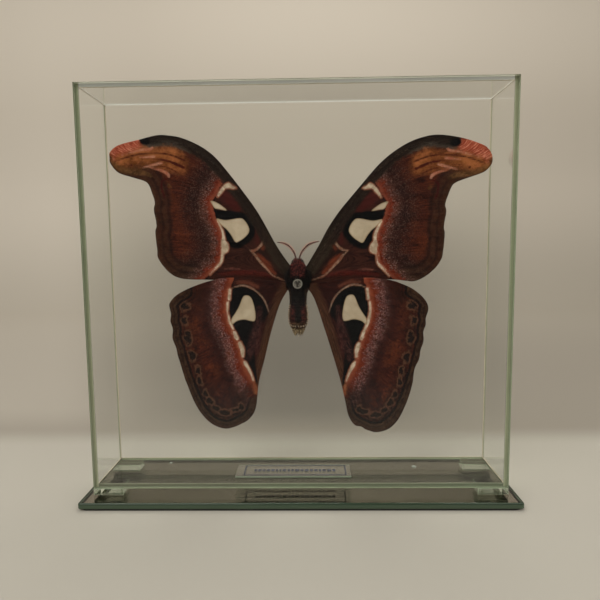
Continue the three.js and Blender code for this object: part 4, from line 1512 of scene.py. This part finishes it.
# Stud, label and glue


STUD_ASIDE = 0.2
STUD_RISE = 0.9
STUD_ARRIS = 0.3
STUD_SPOKES = (50, 130, 265)
ROUND = 64
DISC_RADIUS = 2.22
DISC_RINGS = (0.16, 0.14, 0.14, 0.3, 0.4, 0.5, 0.5)
DISC_THICKNESS = 0.04
DISC_GAP = 0.03


def make_stud():
    low, high = (Vector(corner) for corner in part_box("mounting_stud"))
    centre, radius = (low + high) / 2 + Vector((STUD_ASIDE, 0, STUD_RISE)) * MM, (high.x - low.x) / 2
    lying = Matrix.Rotation(math.pi / 2, 3, "X")
    bm = bmesh.new()
    bmesh.ops.create_cone(
        bm, cap_ends=True, segments=ROUND, radius1=radius, radius2=radius, depth=high.y - low.y,
    )
    bmesh.ops.rotate(bm, cent=(0, 0, 0), matrix=lying, verts=bm.verts)
    rims = [e for e in bm.edges if abs(e.verts[0].co.y - e.verts[1].co.y) < 0.01 * MM]
    ease(bm, rims, STUD_ARRIS * MM, 3)
    bmesh.ops.translate(bm, vec=centre, verts=bm.verts)
    bmesh.ops.recalc_face_normals(bm, faces=bm.faces)
    clear = glass_material("stud_glass", (0.95, 0.96, 0.95, 1), (0.8, 0.85, 0.82, 1), 20.0, 0.3, 0.01, 1.2)
    piece_from(bm, "mounting_stud_glass", (clear,), ("mounting_stud",), smooth=False)

    bm = bmesh.new()
    bmesh.ops.create_circle(bm, segments=ROUND, radius=DISC_RADIUS * MM, cap_ends=True)
    middle = bm.faces[:]
    for step in DISC_RINGS:
        bmesh.ops.inset_region(bm, faces=middle, thickness=step * MM, use_boundary=True)
    bmesh.ops.solidify(bm, geom=bm.faces[:], thickness=DISC_THICKNESS * MM)
    bmesh.ops.rotate(bm, cent=(0, 0, 0), matrix=lying, verts=bm.verts)
    bmesh.ops.translate(bm, vec=(centre.x, low.y - DISC_GAP * MM, centre.z), verts=bm.verts)
    bmesh.ops.recalc_face_normals(bm, faces=bm.faces)
    from_middle = bm.verts.layers.float.new("from_middle")
    from_spoke = bm.verts.layers.float.new("from_spoke")
    for vertex in bm.verts:
        x, z = (vertex.co.x - centre.x) / MM, (vertex.co.z - centre.z) / MM
        away = math.hypot(x, z)
        turns = [math.atan2(z, x) - math.radians(spoke) for spoke in STUD_SPOKES]
        vertex[from_middle] = away
        vertex[from_spoke] = min(away * (abs(math.sin(t)) if math.cos(t) > 0 else 1) for t in turns)
    piece_from(bm, "stud_glue", (stud_glue_material(),), smooth=False)


def stud_glue_material():
    """Glue between the stud and the front sheet: a pale ring, grey smears and three dark clear gaps."""
    material, tree, shader, _ = new_material("stud_glue")
    fine = grained(tree, shader, 1500.0, 0.25, 0.3)
    fray = tree.times(tree.minus(fine, 0.5), 0.5)
    away = tree.plus(tree.attribute("from_middle"), fray)
    spoke = tree.plus(tree.attribute("from_spoke"), fray)
    ring = tree.times(tree.smooth(away, 1.6, 1.85), tree.smooth(away, 2.35, 2.2))
    gap = tree.times(tree.smooth(spoke, 0.6, 0.35), tree.smooth(away, 1.75, 1.5))
    smear = tree.mix(tree.smooth(fine, 0.35, 0.65), (0.1, 0.09, 0.076, 1), (0.2, 0.182, 0.154, 1))
    colour = tree.mix(gap, tree.mix(ring, smear, (0.21, 0.192, 0.164, 1)), (0.035, 0.03, 0.025, 1))
    dress(tree, shader, colour, shine=0.1)
    tree.put(shader.inputs["Alpha"], tree.range(ring, 0.9, 0.08))
    return material


# Painted light and shade across the label's cut edge, as on the sheets' edges.
LABEL_EDGE_SEEN = ((96, 104, 90), (104, 112, 98), (120, 128, 112))
LABEL_ARRIS = 0.06
PRINT_X = (-28.0, 23.3)
PRINT_Y = (-8.9, 2.9)
PRINT_LINE = 0.7
PRINT_RISE = 0.03
PRINT_THICKNESS = 0.04
MARKS_Y = (-4.3, -1.7)
MARK_LENGTHS = (0.9, 2.1)
MARK_GAP = 0.7
MARKS_INSET = 5.0


def make_label():
    clear = glass_material("label_film", (0.97, 0.98, 0.97, 1), (0.7, 0.9, 0.8, 1), 8.0, 0.25, 0.01)
    glass_box("label", LABEL_ARRIS, (clear, edge_material("label_edge", *LABEL_EDGE_SEEN)), 2)
    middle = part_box("label")[1][2] / MM + PRINT_RISE
    (x0, x1), (y0, y1) = PRINT_X, PRINT_Y
    bars = [
        (x0, x1, y0, y0 + PRINT_LINE), (x0, x1, y1 - PRINT_LINE, y1),
        (x0, x0 + PRINT_LINE, y0, y1), (x1 - PRINT_LINE, x1, y0, y1),
    ]
    chooser = random.Random(3)
    x = x0 + MARKS_INSET
    while x < x1 - MARKS_INSET:
        width = chooser.uniform(*MARK_LENGTHS)
        bars.append((x, min(x + width, x1 - MARKS_INSET + 1), *MARKS_Y))
        x += width + MARK_GAP
    bm = bmesh.new()
    half = PRINT_THICKNESS / 2
    for xa, xb, ya, yb in bars:
        add_box(bm, Vector((xa, ya, middle - half)) * MM, Vector((xb, yb, middle + half)) * MM)
    material, tree, shader, _ = new_material("label_ink")
    fine = grained(tree, shader, 2200.0, 0.4, 0.2)
    dress(tree, shader, tree.mix(fine, (0.012, 0.016, 0.035, 1), (0.03, 0.036, 0.06, 1)))
    piece_from(bm, "label_print", (material,), smooth=False)


GLUE_DROPS = ((59.5, 6.8, 1.3), (-69.9, 12.3, 1.0))


def make_glue():
    """Dried drops of glue under the floor of the case."""
    bm = bmesh.new()
    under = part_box("case_floor")[0][2]
    for x, y, radius in GLUE_DROPS:
        points = bmesh.ops.create_icosphere(bm, subdivisions=3, radius=radius * MM)["verts"]
        bmesh.ops.scale(bm, vec=(1, 0.8, 0.5), verts=points)
        bmesh.ops.translate(bm, vec=(x * MM, y * MM, under - 0.45 * radius * MM), verts=points)
    material, tree, shader, _ = new_material("dried_glue")
    fine = grained(tree, shader, 1200.0, 0.12, 0.2)
    dress(tree, shader, tree.mix(fine, (0.5, 0.52, 0.48, 1), (0.75, 0.77, 0.72, 1)))
    shader.inputs["Transmission Weight"].default_value = 0.4
    piece_from(bm, "glue_drops", (material,))


# Stage, lights and camera


def mirrored(tree, path):
    """One for what is seen as a reflection, and nought for what is seen directly or lights a dull surface."""
    bounced = tree.math("GREATER_THAN", path.outputs["Glossy Depth"], 0.5)
    sharp = tree.math("LESS_THAN", path.outputs["Diffuse Depth"], 0.5)
    return tree.times(bounced, sharp)


SHADE_REACH = 0.26
STAGE_HALF = 2.4
WALL_HEIGHT = 2.6
WALL_FORWARD = 1.2
WALL_BEND = 0.5


def stage_material():
    material, tree, shader, _ = new_material("pale_floor")
    place = tree.place()
    x, y, z = tree.axes(place)
    colour = tree.mix(tree.noise(place, 3.0, 3.0), (0.42, 0.4, 0.35, 1), (0.47, 0.445, 0.39, 1))
    # Painted shade and light: darker from a little behind the case onward, a little lighter far back, and
    # lighter up the wall as it rises.
    for value, low, high, tone in (
        (y, 0.055, 0.09, (0.3, 0.273, 0.23, 1)),
        (y, 0.2, 0.75, (0.39, 0.357, 0.3, 1)),
        (z, 0.0, 0.3, (0.56, 0.51, 0.435, 1)),
        (z, 0.3, 0.75, (0.74, 0.68, 0.59, 1)),
    ):
        colour = tree.mix(tree.smooth(value, low, high), colour, tone)
    aside = tree.math("DIVIDE", x, tree.plus(y, SHADE_REACH))
    rear = tree.smooth(y, 0.05, 0.14)
    # Painted light: a lighter wash on the left of the floor and wall behind the case.
    lit = tree.times(tree.times(tree.smooth(aside, -0.28, -0.5), tree.smooth(z, -0.25, 0.25)), rear)
    colour = tree.mix(tree.times(lit, 0.35), colour, (0.88, 0.82, 0.72, 1))
    # Painted shadow of the case, dark low down behind it.
    low = tree.times(tree.smooth(z, 0.34, 0.0), rear)
    shade = tree.times(tree.smooth(tree.math("ABSOLUTE", aside), 0.44, 0.03), low)
    colour = tree.mix(tree.times(shade, 0.5), colour, (0.03, 0.027, 0.022, 1))
    # Painted reflection: where the floor in front of the case is seen reflected, it is painted dark, as a dim
    # room would look.
    path = tree.new("ShaderNodeLightPath")
    front = tree.times(mirrored(tree, path), tree.smooth(y, -0.06, -0.3))
    dress(tree, shader, tree.mix(front, colour, (0.12, 0.114, 0.104, 1)), 0.9, shine=0.2)
    return material


def make_stage():
    """A pale floor that sweeps up into a pale wall, with painted light on the left and up the wall, and a
    painted shadow behind the case.
    """
    bm = bmesh.new()
    bmesh.ops.create_grid(bm, x_segments=1, y_segments=1, size=STAGE_HALF)
    wall = [e for e in bm.edges if all(v.co.y > 1 for v in e.verts)]
    made = bmesh.ops.extrude_edge_only(bm, edges=wall)["geom"]
    raised = [v for v in made if isinstance(v, bmesh.types.BMVert)]
    bmesh.ops.translate(bm, vec=(0, 0, WALL_HEIGHT), verts=raised)
    bend = [e for e in bm.edges if all(v.co.y > 1 and abs(v.co.z) < 0.01 for v in e.verts)]
    bmesh.ops.translate(bm, vec=(0, -WALL_FORWARD, 0), verts=[v for v in bm.verts if v.co.y > 1])
    ease(bm, bend, WALL_BEND, 16)
    mesh = bpy.data.meshes.new("floor")
    bm.to_mesh(mesh)
    bm.free()
    mesh.materials.append(stage_material())
    mesh.shade_smooth()
    floor = bpy.data.objects.new("floor", mesh)
    bpy.context.scene.collection.objects.link(floor)


ROOM_LIGHT = (0.5, 0.475, 0.435, 1)
ROOM_DARK = (0.07, 0.067, 0.061, 1)


def make_lights():
    """Soft light all round, seen only faintly in the glass, and three large lamps."""
    world = bpy.data.worlds.new("soft_room")
    world.use_nodes = True
    tree = Tree(world.node_tree)
    path = tree.new("ShaderNodeLightPath")
    background = world.node_tree.nodes["Background"]
    tree.put(background.inputs["Color"], tree.mix(mirrored(tree, path), ROOM_LIGHT, ROOM_DARK))
    background.inputs["Strength"].default_value = 1.0
    bpy.context.scene.world = world
    for name, place, size, power in (
        ("key", (-0.6, -0.6, 1.15), 0.8, 8.0),
        ("fill", (0.8, -0.5, 0.9), 0.8, 3.5),
        ("back", (0.1, 0.6, 1.3), 0.8, 5.0),
    ):
        data = bpy.data.lights.new(name, "AREA")
        data.size = size
        data.energy = power
        data.color = (1.0, 0.97, 0.92)
        lamp = bpy.data.objects.new(name, data)
        lamp.location = place
        aim = THORAX_CENTRE - Vector(place)
        lamp.rotation_mode = "QUATERNION"
        lamp.rotation_quaternion = aim.to_track_quat("-Z", "Y")
        bpy.context.scene.collection.objects.link(lamp)


def make_camera():
    data = bpy.data.cameras.new("camera")
    data.sensor_width = 36
    data.lens = FOCAL_PIXELS * data.sensor_width / PICTURE_SIDE
    data.clip_start = 0.01
    ahead = Vector((-math.sin(CAMERA_YAW), math.cos(CAMERA_YAW), 0))
    forward = ahead * math.cos(CAMERA_PITCH) - Vector((0, 0, math.sin(CAMERA_PITCH)))
    level = Vector((math.cos(CAMERA_YAW), math.sin(CAMERA_YAW), 0))
    upright = level.cross(forward)
    right = level * math.cos(CAMERA_ROLL) - upright * math.sin(CAMERA_ROLL)
    up = level * math.sin(CAMERA_ROLL) + upright * math.cos(CAMERA_ROLL)
    camera = bpy.data.objects.new("camera", data)
    turn = Matrix((right, up, -forward)).transposed().to_4x4()
    camera.matrix_world = Matrix.Translation(CAMERA_PLACE) @ turn
    bpy.context.scene.collection.objects.link(camera)
    bpy.context.scene.camera = camera


bpy.context.scene.view_settings.view_transform = "Standard"
make_camera()
make_base()
make_case()
make_wings()
make_body()
make_antennae()
make_stud()
make_label()
make_glue()
make_stage()
make_lights()
